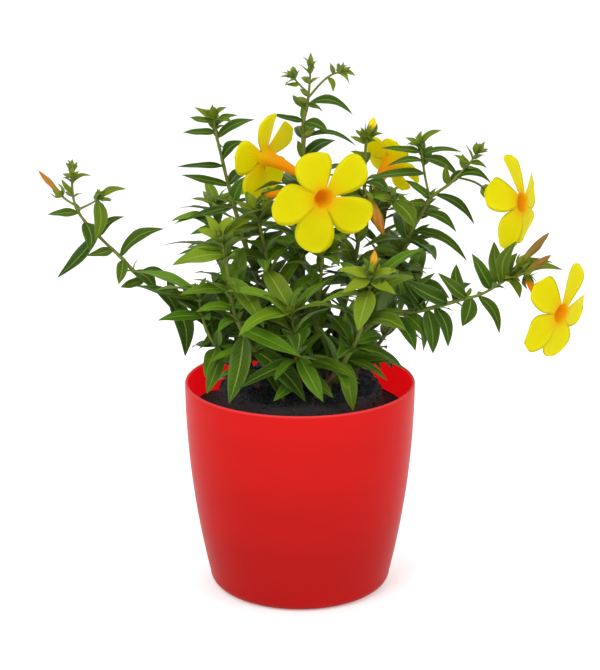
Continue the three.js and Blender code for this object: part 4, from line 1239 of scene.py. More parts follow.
def has_room(leaf, blooms):
    """Whether a leaf stays in the bush and the solids' box, off the pot, soil and blooms."""
    low, high = (corner / MM for corner in CAD_BOX)
    if leaf["length"] > LONG_LEAF and leaf["direction"].y < TOWARDS_VIEWER:
        return False
    for share in (0.35, 0.7, 1.0):
        p = leaf["foot"] + leaf["direction"] * leaf["length"] * share
        if any(p[i] < low[i] + BOX_GAP or p[i] > high[i] - BOX_GAP for i in range(3)):
            return False
        if p.z < SKIRT_HEIGHT and abs(p.x) > SKIRT_REACH:
            return False
        radius = math.hypot(p.x, p.y)
        if any(least < radius < most and p.z < height for least, most, height in POT_ZONES):
            return False
        for bloom in blooms:
            away = p - bloom["centre"]
            depth = away.dot(bloom["axis"])
            beside = (away - bloom["axis"] * depth).length
            if PETAL_ZONE[0] < depth < PETAL_ZONE[1] and beside < bloom["reach"]:
                return False
    return True


def tip_leaves(axis, look, chance):
    """A young rosette at an axis's tip, and small leaves in rows under it."""
    for k in range(look.rosette):
        at = axis.last * (1 - ROSETTE_STEP * (k // 2))
        away = around(axis.along(at)[1], 2.4 * k + chance.uniform(-SWAY, SWAY))
        yield new_leaf(axis, at, away, chance, **ROSETTE)
    for k in range(look.tip_whorls):
        at = axis.last * (1 - TIP_ROW_STEP * (k + 1))
        for turn in range(3):
            angle = 2.1 * turn + 1.05 * k + chance.uniform(-SWAY, SWAY)
            yield new_leaf(axis, at, around(axis.along(at)[1], angle), chance, **TIP_ROW)


def axil_leaves(stem, look, chance):
    """Small leaves beside the long ones."""
    for leaf in stem["leaves"]:
        if leaf["length"] < AXIL_LEAST:
            continue
        for side in (-1, 1):
            if chance.random() > look.axil_share:
                continue
            way, tangent = leaf["direction"], leaf["tangent"]
            turn = Quaternion(tangent, side * chance.uniform(0.9, 1.7))
            away = (turn @ (way - tangent * way.dot(tangent))).normalized()
            yield new_leaf(leaf["axis"], leaf["at"], away, chance, **AXIL, scale=leaf["length"])


def core_leaves(axis, look, chance):
    """More rows of leaves low in the bush, where it is dense."""
    low, middle, top = CORE_LEVELS
    length = path_length(axis.samples)
    for k in range(int(length / look.row_gap)):
        at = axis.last * (CORE_START + k * look.row_gap / length)
        foot = axis.fine(at)
        if abs(foot.x) > CORE_REACH or foot.z > top:
            continue
        kind = CORE_LOW if foot.z < low else CORE_MIDDLE if foot.z < middle else CORE_HIGH
        scale = 1 if foot.z < middle else HIGH_SHARE
        for turn in range(3):
            angle = 2.1 * turn + 1.3 * k + chance.uniform(-CORE_SWAY, CORE_SWAY)
            away = around(axis.along(at)[1], angle)
            yield new_leaf(axis, at, away, chance, **kind, scale=scale)


def more_leaves(name, stem, blooms, look):
    """The leaves of a stem that are too small or too many for its solid."""
    chance = random.Random(look.seed + len(name) * 7 + sum(map(ord, name)))
    found = [leaf for axis in stem["axes"] for leaf in tip_leaves(axis, look, chance)]
    found += axil_leaves(stem, look, chance)
    found += core_leaves(stem["axes"][0], look, chance)
    return [leaf for leaf in found if has_room(leaf, blooms)]


def calyx_leaves(seat, way, chance):
    """Five green sepals round the foot of a bloom or a flower bud."""
    side = square_to(way)
    for k in range(LOBES):
        away = Quaternion(way, 2 * math.pi * k / LOBES + SEPAL_TURN) @ side
        yield dict(
            foot=seat + away * SEPAL_OUT - way * SEPAL_DOWN,
            direction=(way + away * SEPAL_SPREAD).normalized(),
            facing=away,
            tone=chance.random(),
            **SEPAL,
        )


def painted_shade_share(foot):
    """Nothing in the bush, 1 out on the open branches, where the leaves get painted shade against the
    stronger light there.
    """
    return max(min(max(abs(foot.x) - BUSH_REACH, foot.z - BUSH_TOP) / BUSH_FADE, 1), 0)


def leaf_ages(stem, chance, fresh):
    """Gives each leaf its own tone, darkened by painted shade on the open branches, and its age
    from its size and how near the tip it is.
    """
    for leaf in stem["leaves"]:
        share = leaf["at"] / leaf["axis"].last
        young = max((YOUNG_LENGTH - leaf["length"]) / YOUNG_FADE, (share - YOUNG_TIP) * 4, 0)
        spring = fresh * max(share - 0.5, 0) * 1.4
        leaf["age"] = min(young * 0.8 + chance.uniform(0, 0.14) + spring, 1)
        # Painted shade darkens the tone of leaves on the open branches
        leaf["tone"] = chance.random() * 0.9 - OUTER_PAINTED_SHADE * painted_shade_share(leaf["foot"])


# Stems


def rod_tree():
    """Round rods along the starting lines, as thick as each point says."""
    g = Growth("stem_rods", sides=STEM_SIDES)
    thick = g.named("thick")
    rails = g.geo("MeshToCurve", Mesh=g["geometry"])
    rails = g.geo("SetCurveRadius", Curve=rails, Radius=thick)
    ring = g.geo("CurvePrimitiveCircle", Resolution=g["sides"], Radius=1.0)
    rods = g.geo("CurveToMesh", Curve=rails, Profile_Curve=ring, Scale=thick, Fill_Caps=True)
    return g.finished(rods)


class Rods:
    """Lines that become rods, with a thickness and an age of the wood at each point."""

    def __init__(self):
        self.points = []
        self.edges = []
        self.values = {"thick": [], "wood": []}

    def add(self, rows):
        for i, (point, thick, wood) in enumerate(rows):
            if i:
                self.edges.append((len(self.points) - 1, len(self.points)))
            self.points.append(point)
            self.values["thick"].append(thick * MM)
            self.values["wood"].append(wood)


def axis_rows(axis, feet):
    """Points along an axis, thicker where leaves leave it, woody near the soil."""
    rows = []
    if axis.is_main:
        foot = axis.points[0]
        for z in ROOT_HEIGHTS:
            rows.append((Vector((foot.x, foot.y, z)), axis.radius(0) * ROOT_SWELL, 1.0))
    count = max(int(path_length(axis.samples) / STEM_STEP), 4)
    for i in range(count + 1):
        share = i / count
        point = curve_point(axis.points, share)
        near = max((math.exp(-(((point - p).length / NODE_REACH) ** 2)) for p in feet), default=0)
        wood = max(1 - max(point.z - WOOD_FOOT, 0) / WOOD_LENGTH, 0) if axis.is_main else 0.0
        thick = axis.radius(axis.last * i / count)
        thick *= (1 - STEM_SLIMMING * share) * (1 + NODE_SWELL * near)
        rows.append((point, thick, wood))
    return rows + [(point + axis.along(axis.last)[1] * 0.7, thick * 0.5, wood)]


def seat_way(seat):
    """Which way a calyx looks."""
    if "aim" in seat:
        return Vector(seat["aim"]).normalized()
    return (Vector(BLOOMS[seat["holds"]]["bend"]) - Vector(seat["seat"])).normalized()


def pedicel_rows(main, seat):
    """The stalk of a bloom or bud, widening into its cup."""
    way = seat_way(seat)
    root, place = main.fine(seat["start"]), Vector(seat["seat"])
    end = place + way * (PEDICEL_OVERLAP - CALYX_LENGTH + CALYX_DEPTH)
    bend = end - way * (PEDICEL_BEND * (root - end).length)
    shares = [i / PEDICEL_STEPS for i in range(PEDICEL_STEPS + 1)]
    rows = [(bezier(root, bend, end, share), PEDICEL_RADIUS, 0.0) for share in shares]
    return rows + [(place + way * along, radius, 0.0) for along, radius in CUP]


def small_bud_rows(axis, at, turn, forward, length):
    foot, way = axis.fine(at), heading(turn, forward)
    radius = SMALL_BUD_SLIMNESS * length
    return [(foot + way * (length * t), radius * r, 0.0) for t, r in BUD_ROUND]


def stem_rods(name, stem):
    rods = Rods()
    for axis in stem["axes"]:
        rods.add(axis_rows(axis, [leaf["foot"] for leaf in stem["leaves"]]))
        for bud in axis.data.get("buds", ()):
            rods.add(small_bud_rows(axis, *bud))
    for seat in SEATS:
        if seat["stem"] == name:
            rods.add(pedicel_rows(stem["axes"][0], seat))
    return rods


# Blooms and flower buds


def bloom_frame(bloom, t):
    """Middle, axis, sideways and upward directions of a section of the bloom's tube."""
    a, b, c = (Vector(bloom[key]) for key in ("seat", "bend", "throat"))
    axis = ((b - a) * (2 * (1 - t)) + (c - b) * (2 * t)).normalized()
    up = (UP - axis * axis.z).normalized()
    return bezier(a, b, c, t), axis, up.cross(axis), up


def ring_ways(bloom, right, up):
    """Number, angle and way out of each point round a section of a bloom."""
    for k in range(RING):
        angle = math.radians(bloom["spin"] - 180 / LOBES) + 2 * math.pi * k / RING
        yield k, angle, right * math.cos(angle) + up * math.sin(angle)


def lobe_half(u, width):
    """Half width of a petal's free part, from its neck to its round end."""
    neck = THROAT_RADIUS * math.sin(math.pi / LOBES) * 0.98
    half = width * LOBE_FULLNESS / 2
    if u < LOBE_WAIST:
        return neck + (half - neck) * math.sin(math.pi / 2 * u / LOBE_WAIST)
    end = (u - LOBE_WAIST) / (1 - LOBE_WAIST)
    return half * max(1 - end**2.5, 0) ** 0.55


def tube_radius(t, bell):
    """Outer radius of a bloom's tube, a share t along its length, up to its bell."""
    places = (0, TUBE_WAIST * 0.5, TUBE_WAIST, (TUBE_WAIST + bell) / 2, bell)
    radii = (TUBE_BASE_RADIUS, 3.1, TUBE_WAIST_RADIUS, 4.4, BELL_RADIUS)
    return float(np.interp(t, places, radii))


class Shell:
    """Corners and faces of a closed shell, with values on the corners."""

    def __init__(self):
        self.points = []
        self.faces = []
        self.values = {"deep": [], "ray": [], "rim": []}

    def corner(self, point, **values):
        self.points.append(point)
        for key, column in self.values.items():
            column.append(values.get(key, 0.0))
        return len(self.points) - 1

    def quads(self, rows, closed):
        for low, high in zip(rows, rows[1:]):
            for k in range(len(low) if closed else len(low) - 1):
                n = (k + 1) % len(low)
                self.faces.append((low[k], low[n], high[n], high[k]))


def bloom_ring(shell, bloom, t, radius, deep):
    centre, _, right, up = bloom_frame(bloom, t)
    ring = []
    for k, angle, way in ring_ways(bloom, right, up):
        pleat = 1 + PLEAT * math.cos(LOBES * (angle - math.radians(bloom["spin"])))
        place = centre + way * (radius * (pleat if radius < PLEATED_RADIUS else 1))
        ring.append(shell.corner(place, deep=deep, ray=k / LOBE_STEPS))
    return ring


def throat_ring(shell, bloom, sign, deep):
    """The throat's edge. Its two sides meet in the notches between the petals."""
    centre, axis, right, up = bloom_frame(bloom, 1)
    ring = []
    for k, _, way in ring_ways(bloom, right, up):
        thick = PETAL_HALF * sign * (1 - (2 * (k % LOBE_STEPS) / LOBE_STEPS - 1) ** 2)
        place = centre + way * (THROAT_RADIUS - 0.4 * thick) + axis * thick
        ring.append(shell.corner(place, deep=deep, ray=k / LOBE_STEPS))
    return ring


def lobe_rows(shell, bloom, lobe, sign, root, warm):
    """One side of one petal, from the throat's edge to its tip."""
    centre, axis, right, up = bloom_frame(bloom, 1)
    middle = math.radians(bloom["spin"]) + 2 * math.pi * lobe / LOBES
    outward = right * math.cos(middle) + up * math.sin(middle)
    sideways = up * math.cos(middle) - right * math.sin(middle)
    sway = LOBE_SWAY * math.sin(2.4 * lobe + bloom["spin"])
    opening = math.radians(bloom["spread"] + sway)
    length, width = bloom["length"], bloom["width"]
    rows = [root]
    for i in range(1, LOBE_ROWS + 1):
        u = 1 - (1 - i / LOBE_ROWS) ** 1.5
        half = lobe_half(u, width)
        tilt = opening + math.radians(LOBE_CURL) * u
        normal = axis * math.sin(tilt) - outward * math.cos(tilt)
        row = []
        for j in range(LOBE_STEPS + 1):
            s = 2 * j / LOBE_STEPS - 1
            aside = s * half + LOBE_LEAN * width * u * u
            out = length * u * (1 + LOBE_SKEW * s * u * u * half / width)
            sag = THROAT_RADIUS * (1 - math.cos(math.pi / LOBES * s)) * (1 - u) ** 3
            ripple = LOBE_RIPPLE * width * math.sin(7 * u + 2.1 * lobe + 2 * s) * s * s * u
            groove = math.exp(-((s / GROOVE_WIDTH) ** 2)) * math.sin(math.pi * min(u * 1.2, 1))
            twist = LOBE_TWIST * width * s * math.sin(math.pi * min(u * 1.15, 1))
            cup = LOBE_CUP * u * s * s * width * (1 - LOBE_FLATTENING * u)
            rise = cup + ripple - GROOVE_DEPTH * groove + twist
            thick = PETAL_HALF * sign * (1 - s * s) ** 0.5 * (1 - u**4)
            place = centre + outward * (THROAT_RADIUS - sag + out * math.sin(tilt))
            place += axis * (out * math.cos(opening) + rise) + sideways * aside + normal * thick
            place.x = min(place.x, CAD_BOX[1].x / MM - 0.1)
            deep = warm * (1 - u) ** (2.2 if sign > 0 else 0.6)
            rim = max(abs(s) ** 6, u**9)
            row.append(shell.corner(place, deep=deep, ray=lobe + j / LOBE_STEPS, rim=rim))
        rows.append(row)
    return rows


def bloom_piece(name, bloom, material):
    """A bloom: tube, bell, throat and five petals in one closed shell."""
    shell = Shell()
    length = path_length([bloom_frame(bloom, i / 60)[0] for i in range(61)])
    bell, start = 1 - BELL_LENGTH / length, TUBE_START / length
    outer = [bloom_ring(shell, bloom, start, TUBE_END_RADIUS, 0.9)]
    for share in TUBE_SHARES:
        t = start + (bell - start) * share
        outer.append(bloom_ring(shell, bloom, t, tube_radius(t, bell), 0.95 - 0.1 * share))
    for depth, radius, deep in OUTER_BELL:
        outer.append(bloom_ring(shell, bloom, 1 - depth / length, radius, deep))
    outer.append(throat_ring(shell, bloom, -1, BACK_DEEP))
    inner = [throat_ring(shell, bloom, 1, THROAT_DEEP)]
    for depth, radius, deep in (*INNER_BELL, INNER_END):
        inner.append(bloom_ring(shell, bloom, 1 - depth / length, radius, deep))
    shell.quads(outer, True)
    shell.quads([row[::-1] for row in inner], True)
    shell.faces.append(tuple(outer[0][::-1]))
    shell.faces.append(tuple(inner[-1]))
    for lobe in range(LOBES):
        for sign, edge, warm in ((1, inner[0], THROAT_DEEP), (-1, outer[-1], BACK_DEEP)):
            root = [edge[(LOBE_STEPS * lobe + j) % RING] for j in range(LOBE_STEPS + 1)]
            shell.quads(lobe_rows(shell, bloom, lobe, sign, root, warm), False)
    return plain_piece(name, shell.points, shell.faces, material, **shell.values)


def bud_piece(name, seat, bud, material):
    """A flower bud: a slim twisted spindle out of its cup."""
    way, place = seat_way(seat), Vector(seat["seat"])
    side = square_to(way)
    other = way.cross(side)
    length, radius = bud["length"], bud["radius"]
    radii = (TUBE_BASE_RADIUS, 0.75 * radius, radius, 0.5 * radius, 0.0)
    points, along, fold = [], [], []
    for i in range(BUD_RINGS + 1):
        t = i / BUD_RINGS
        round_off = 0.12 * radius * math.sin(math.pi * t) + 0.02
        size = float(np.interp(t, BUD_PLACES, radii)) * 0.94 + round_off * (t < 1)
        for k in range(BUD_SIDES):
            angle = 2 * math.pi * k / BUD_SIDES
            crest = math.cos(LOBES * (angle - BUD_TWIST * t)) * min(t * 3, 1)
            spot = side * math.cos(angle) + other * math.sin(angle)
            centre = place + way * (TUBE_START + (length - TUBE_START) * t)
            points.append(centre + spot * (size * (1 + BUD_CREST * crest)))
            along.append(t)
            fold.append(max(-crest, 0))
    faces = ring_faces(BUD_RINGS + 1, BUD_SIDES)
    faces.append(tuple(range(BUD_SIDES))[::-1])
    faces.append(tuple(range(BUD_RINGS * BUD_SIDES, len(points))))
    warm = [bud["warmth"]] * len(points)
    return plain_piece(name, points, faces, material, along=along, fold=fold, warm=warm)


# Pot and soil


def wall_radius(height):
    return RIM_RADIUS - WALL_TAPER * (1 - height / POT_HEIGHT) ** 2


def pot_profile():
    """Points of the pot's section as (radius, height, inside, rim), outside first. The inside
    share also sets the painted glow, and the rim share the painted highlight.
    """
    rows = [(radius, 0, 0, 0) for radius in UNDERSIDE_RADII]
    for k in range(FOOT_STEPS + 1):
        angle = math.pi / 2 * k / FOOT_STEPS
        radius = FOOT_RADIUS + FOOT_EDGE * math.sin(angle)
        rows.append((radius, FOOT_EDGE * (1 - math.cos(angle)), 0, 0))
    heights = [FOOT_EDGE + (WALL_TOP - FOOT_EDGE) * k / WALL_STEPS for k in range(WALL_STEPS + 1)]
    rows += [(wall_radius(z), z, 0, 0) for z in heights[1:]]
    rows += [(RIM_RADIUS - x, POT_HEIGHT - z, inside, rim) for x, z, inside, rim in RIM_ROUND]
    rows += [(wall_radius(z) - WALL, z, 1, 0) for z in heights[::-1]]
    rows += [(FLOOR_RADIUS + x, FLOOR + z, 1, 0) for x, z in FLOOR_ROUND]
    return rows + [(radius, FLOOR, 1, 0) for radius in FLOOR_RADII]


def pot_tree():
    """Turns the starting section round the upright axis and drills the drain holes."""
    g = Growth(
        "turned_pot",
        sides=POT_SIDES,
        rows=10,
        holes=DRAIN_HOLES,
        hole_radius=DRAIN_RADIUS * MM,
        hole_circle=DRAIN_CIRCLE * MM,
    )
    grid = g.geo("MeshGrid", Size_X=1.0, Size_Y=1.0, Vertices_X=g["sides"], Vertices_Y=g["rows"])
    x, y, _ = g.parts(g.position())
    row = ((y + 0.5) * (g["rows"] - 1)).math("ROUND")

    def sampled(value, kind="FLOAT"):
        """The starting section's value at this row of the grid."""
        words = {"Geometry": g["geometry"], "Value": value, "Index": row}
        return g.geo("SampleIndex", **words, data_type=kind, domain="POINT")

    for key in ("inside", "rim"):
        grid = g.stored(grid, key, sampled(g.named(key)))
    radius, _, height = g.parts(sampled(g.position(), "FLOAT_VECTOR"))
    angle = x * (2 * math.pi)
    wall = g.moved(grid, Position=g.joined(radius * angle.cos(), radius * angle.sin(), height))
    wall = g.geo("MergeByDistance", Geometry=wall, Distance=0.00002)
    ring = g.geo("MeshCircle", Vertices=g["holes"], Radius=g["hole_circle"])
    ring = g.geo("Transform", Geometry=ring, Rotation=(0, 0, math.pi / 4))
    drill = g.geo("MeshCylinder", Vertices=32, Radius=g["hole_radius"], Depth=DRAIN_DEPTH * MM)
    drills = g.realized(g.geo("InstanceOnPoints", Points=ring, Instance=drill))
    pot = g.geo("MeshBoolean", Mesh_1=wall, Mesh_2=drills, operation="DIFFERENCE")
    sharp = g.geo("InputMeshEdgeAngle", out="Unsigned Angle").over(0.7)
    return g.finished(g.stored(pot, "sharp_edge", sharp, "BOOLEAN", "EDGE"))


def soil_top(x, y):
    """Height of the soil: a mound for the root ball, with clods and a level edge at the wall."""
    radius = math.hypot(x, y)
    share = min(max((MOUND_RADIUS - radius) / MOUND_SLOPE, 0), 1)
    rise = share * share * (3 - 2 * share)
    clod = 1.6 * math.sin(x / 8.5 + 1.3 * math.sin(y / 11))
    clump = 1.3 * math.sin(y / 7.3 + x / 19)
    level = SOIL_EDGE_HEIGHT + (MOUND_HEIGHT - SOIL_EDGE_HEIGHT) * rise
    rough = noise.noise(Vector((x / 6, y / 6, 3))) * 1.5
    rough += noise.noise(Vector((x / 2.2, y / 2.2, 7))) * 0.7
    fade = min((soil_radius(SOIL_EDGE_HEIGHT) - radius) / 6, 1)
    return level + (clod + clump) * (0.55 + 0.45 * rise) + rough * fade


def soil_radius(height):
    return wall_radius(height) - WALL - SOIL_GAP


def soil_piece(material):
    """The root ball and loose soil: a closed body with a lumpy top."""
    rows = [(radius, FLOOR + SOIL_LIFT) for radius in SOIL_FOOT_RADII]
    rows += [(soil_radius(z), z) for z in SOIL_WALL_HEIGHTS]
    for k in range(SOIL_RINGS, 0, -1):
        share = math.sin(math.pi / 2 * k / SOIL_RINGS) ** 0.9
        rows.append((soil_radius(SOIL_EDGE_HEIGHT) * share, None))
    rows.append((MIDDLE, None))
    return turned_piece("soil_body", rows, SOIL_SIDES, material, soil_top)


def crumb_tree():
    """Scatters uneven crumbs of soil over the upper faces of the starting mesh."""
    g = Growth("soil_crumbs", density=52000.0, seed=11, smallest=0.0007, largest=0.0026)
    _, _, height = g.parts(g.position())
    _, _, upward = g.parts(g.geo("InputNormal"))
    points = g.geo(
        "DistributePointsOnFaces",
        Mesh=g["geometry"],
        Selection=height.over(0.16) * upward.over(0.3),
        Density=g["density"],
        Seed=g["seed"],
    )
    ball = g.geo("MeshIcoSphere", Radius=1.0, Subdivisions=2)
    lump = g.put("ShaderNodeTexNoise", Scale=1.3, Detail=2.0, out="Color")
    lump = g.put("ShaderNodeVectorMath", {0: lump, 1: (0.5, 0.5, 0.5)}, operation="SUBTRACT")
    draw = {"kind": "FunctionNodeRandomValue", "out": "Value"}
    size = g.put(**draw, Min=0.0, Max=1.0, Seed=g["seed"], data_type="FLOAT")
    size = size**3 * (g["largest"] - g["smallest"]) + g["smallest"]
    turns = (6.28, 6.28, 6.28)
    spin = g.put(**draw, Min=(0, 0, 0), Max=turns, Seed=5, data_type="FLOAT_VECTOR")
    crumbs = g.geo(
        "InstanceOnPoints",
        Points=points,
        Instance=g.moved(ball, Offset=lump),
        Rotation=g.put("FunctionNodeEulerToRotation", Euler=spin),
        Scale=g.joined(size, size * 0.8, size * 0.7),
    )
    return g.finished(g.realized(crumbs))


# Settings


def colour(name, description, value):
    return bpy.props.FloatVectorProperty(
        name=name, description=description, default=value, size=3, min=0, max=1, subtype="COLOR"
    )


def share(name, description, value):
    return bpy.props.FloatProperty(
        name=name, description=description, default=value, min=0, max=1, subtype="FACTOR"
    )


def number(name, description, value, **more):
    return bpy.props.FloatProperty(name=name, description=description, default=value, **more)


def whole(name, description, value):
    return bpy.props.IntProperty(name=name, description=description, default=value, min=0)


class PotSettings(bpy.types.PropertyGroup):
    """Colours and gloss of the pot with its painted shade, highlight and glow, and the soil in it."""

    # Painted shade: the outside goes from Pot foot near the floor to Pot near the rim
    pot: colour("Pot", "Upper part of the pot's outside", (0.49, 0.0085, 0.007))
    pot_painted_shade: colour("Pot foot", "Lower part of the pot's outside", (0.335, 0.007, 0.006))
    pot_inside: colour("Pot inside", "Inside of the wall", (0.60, 0.001, 0.004))
    # Painted highlight on the rim's top edge
    pot_rim_highlight: colour("Rim", "Top edge of the wall", (0.80, 0.09, 0.10))
    gloss_spread: share("Roughness", "Roughness of the plastic", 0.36)
    # Painted glow inside the wall, in place of light through the plastic
    inside_painted_glow: share("Inside glow", "Light that comes through the wall", 0.95)
    soil_dark: colour("Soil", "Damp soil", (0.004, 0.004, 0.005))
    soil_light: colour("Drier soil", "Soil on the lumps", (0.011, 0.012, 0.013))
    soil_crumb: colour("Crumbs", "Lighter crumbs", (0.040, 0.042, 0.044))
    soil_fibre: colour("Fibres", "Bits of fibre", (0.075, 0.052, 0.032))
    density: number("Crumb density", "Crumbs on a square metre", 52000, min=0)
    seed: whole("Seed", "Draw of the crumbs", 11)


class LeafSettings(bpy.types.PropertyGroup):
    """Colours of leaves and stems, and how full the bush is."""

    # Painted shade pulls the open branches' leaves towards this dark colour
    dark: colour("Dark leaf", "Old leaves", (0.017, 0.056, 0.002))
    light: colour("Leaf", "Grown leaves", (0.090, 0.220, 0.004))
    young: colour("Young leaf", "Leaves at the tips", (0.205, 0.275, 0.008))
    rib: colour("Midrib", "Midrib and side veins", (0.280, 0.390, 0.080))
    underside: colour("Underside", "Back of a leaf", (0.170, 0.250, 0.080))
    roughness: share("Roughness", "Roughness of a leaf", 0.34)
    stem_dark: colour("Stem", "Green stem", (0.060, 0.085, 0.010))
    stem_light: colour("Stem light", "Lighter green stem", (0.170, 0.200, 0.030))
    bark_dark: colour("Bark", "Woody foot of a stem", (0.050, 0.036, 0.020))
    bark_light: colour("Bark light", "Lighter bark", (0.160, 0.120, 0.070))
    row_gap: number("Row gap", "Room between rows of extra leaves, mm", 15, min=5)
    axil_share: share("Axil leaves", "How many leaves have a small one beside them", 0.5)
    rosette: whole("Rosette", "Leaves at a tip", 7)
    tip_whorls: whole("Tip rows", "Rows under a tip", 2)
    seed: whole("Seed", "Draw of the extra leaves", 5)


class BloomSettings(bpy.types.PropertyGroup):
    """Colours of blooms and flower buds."""

    petal: colour("Petal", "Open petal", (0.680, 0.650, 0.001))
    petal_deep: colour("Petal deep", "Shaded petal", (0.640, 0.580, 0.001))
    petal_edge: colour("Petal edge", "Thin edge of a petal", (0.800, 0.760, 0.020))
    throat: colour("Throat", "Orange throat", (0.760, 0.330, 0.003))
    throat_deep: colour("Deep throat", "Bottom of the throat", (0.560, 0.170, 0.003))
    bud_brown: colour("Brown bud", "Brown flower bud", (0.150, 0.075, 0.012))
    bud_dull: colour("Dull bud", "Greyer brown", (0.170, 0.120, 0.025))
    bud_orange: colour("Orange bud", "Orange flower bud", (0.360, 0.120, 0.012))
    bud_light: colour("Light bud", "Lighter orange", (0.560, 0.240, 0.020))
    bud_gold: colour("Gold bud", "Yellow flower bud", (0.700, 0.560, 0.010))
    bud_fold: colour("Fold", "Grooves of a bud", (0.180, 0.060, 0.015))
    bud_foot: colour("Bud foot", "Green foot of a bud", (0.190, 0.210, 0.020))


class StageSettings(bpy.types.PropertyGroup):
    """Camera, floor and lights."""

    floor: colour("Floor", "Pale floor", (0.75, 0.75, 0.75))
    floor_cloud: colour("Floor cloud", "Lighter clouds on the floor", (0.80, 0.80, 0.80))
    floor_glow: share("Floor glow", "Light that the floor gives by itself", 0.25)
    lens: number("Lens", "Focal length in millimetres", 104.4, unit="CAMERA")
    camera_distance: number("Distance", "Camera in front of the pot", 1.6, unit="LENGTH")
    camera_height: number("Height", "Camera above the floor", 0.701, unit="LENGTH")
    aim_height: number("Aim", "Height that the camera looks at", 0.224, unit="LENGTH")
    light_aim: number("Light aim", "Height that the lights look at", 0.22, unit="LENGTH")
    key: number("Key light", "Power of the main light", 30, unit="POWER")
    fill: number("Fill light", "Power of the side light", 14, unit="POWER")
    sky: share("Sky", "Strength of the even light", 0.95)


# Operators

PLANT_LINES = {}


def plant_lines():
    """The plant laid out once, for the operators that share it."""
    if not PLANT_LINES:
        PLANT_LINES.update(laid_plant())
        for name, stem in PLANT_LINES.items():
            leaf_ages(stem, random.Random(sum(map(ord, name))), FRESH_STEMS.get(name, 0))
    return PLANT_LINES


def seated_blooms():
    """Each bloom's data with its seat."""
    seats = {seat["holds"]: seat["seat"] for seat in SEATS if seat["holds"] in BLOOMS}
    return {name: {**BLOOMS[name], "seat": seat} for name, seat in seats.items()}


def bloom_fields():
    """Where leaves have to keep clear of petals."""
    found = []
    for bloom in seated_blooms().values():
        centre, axis, _, _ = bloom_frame(bloom, 1)
        found.append({"centre": centre, "axis": axis, "reach": PETAL_GAP + bloom["length"]})
    return found


class MakePot(bpy.types.Operator):
    """Turn the pot's wall and drill its drain holes"""

    bl_idname = "allamanda.make_pot"
    bl_label = "Pot"

    def execute(self, context):
        rows = pot_profile()
        mesh = seed_mesh(
            "pot_section",
            [(radius, 0, height) for radius, height, _, _ in rows],
            inside=[row[2] for row in rows],
            rim=[row[3] for row in rows],
        )
        finish = pot_finish(context.scene.allamanda_pot)
        sizes = {"rows": len(rows), "sides": POT_SIDES + 1}
        pot = grown("pot_shell", mesh, pot_tree(), finish, **sizes)
        weld(pot.data, 0.01)
        settle(pot, "pot_plastic", "pot")
        return {"FINISHED"}


class MakeSoil(bpy.types.Operator):
    """Fill the pot with lumpy soil and scatter crumbs over it"""

    bl_idname = "allamanda.make_soil"
    bl_label = "Soil"

    def execute(self, context):
        look = context.scene.allamanda_pot
        material = soil_finish(look)
        soil = soil_piece(material)
        draw = {"density": look.density, "seed": look.seed}
        crumbs = grown("soil_crumbs", soil.data.copy(), crumb_tree(), material, **draw)
        settle(soil, "potting_soil", "soil")
        settle(crumbs, "potting_soil")
        return {"FINISHED"}


class MakeStems(bpy.types.Operator):
    """Make each stem with its side shoots, stalks, cups and small buds"""

    bl_idname = "allamanda.make_stems"
    bl_label = "Stems"

    def execute(self, context):
        material, tree = stem_finish(context.scene.allamanda_leaf), rod_tree()
        for name, stem in plant_lines().items():
            rods = stem_rods(name, stem)
            mesh = seed_mesh(name, rods.points, rods.edges, **rods.values)
            settle(grown(name + "_wood", mesh, tree, material), "foliage", name)
        return {"FINISHED"}


class MakeLeaves(bpy.types.Operator):
    """Put the leaves of the solids on the stems, and the calyx leaves under blooms and buds"""

    bl_idname = "allamanda.make_leaves"
    bl_label = "Leaves"

    def execute(self, context):
        look = context.scene.allamanda_leaf
        material, tree = leaf_finish(look), leaf_tree()
        blooms = bloom_fields()
        for name, stem in plant_lines().items():
            chance = random.Random(len(name))
            leaves = list(stem["leaves"])
            for seat in SEATS:
                if seat["stem"] == name:
                    leaves += calyx_leaves(Vector(seat["seat"]), seat_way(seat), chance)
            settle(leaf_piece(name + "_leaves", leaves, tree, material), "foliage", name)
            small = more_leaves(name, stem, blooms, look)
            settle(leaf_piece(name + "_small_leaves", small, tree, material), "foliage")
        return {"FINISHED"}


class MakeBlooms(bpy.types.Operator):
    """Make the five yellow blooms"""

    bl_idname = "allamanda.make_blooms"
    bl_label = "Blooms"

    def execute(self, context):
        material = petal_finish(context.scene.allamanda_bloom)
        for name, bloom in seated_blooms().items():
            settle(bloom_piece(name + "_petals", bloom, material), "petals", name)
        return {"FINISHED"}


class MakeBuds(bpy.types.Operator):
    """Make the six coloured flower buds"""

    bl_idname = "allamanda.make_buds"
    bl_label = "Flower buds"

    def execute(self, context):
        material = bud_finish(context.scene.allamanda_bloom)
        for seat in SEATS:
            name = seat["holds"]
            if name in BUDS:
                settle(bud_piece(name + "_spindle", seat, BUDS[name], material), "buds", name)
        return {"FINISHED"}


# Studio lights: place and size in metres, and the setting that holds their power
LIGHTS = {
    "key_light": ((-1.1, -1.5, 1.9), 1.5, "key"),
    "fill_light": ((1.6, -1.1, 1.1), 1.4, "fill"),
    "top_light": ((0.1, 0.5, 2.2), 1.6, "fill"),
}
FLOOR_ROWS = (
    (0, 0), (600, 0), (1500, 0), (3000, 0), (3700, 60),
    (4300, 300), (4700, 800), (4900, 1600), (5000, 3000),
)
FLOOR_SIDES = 64


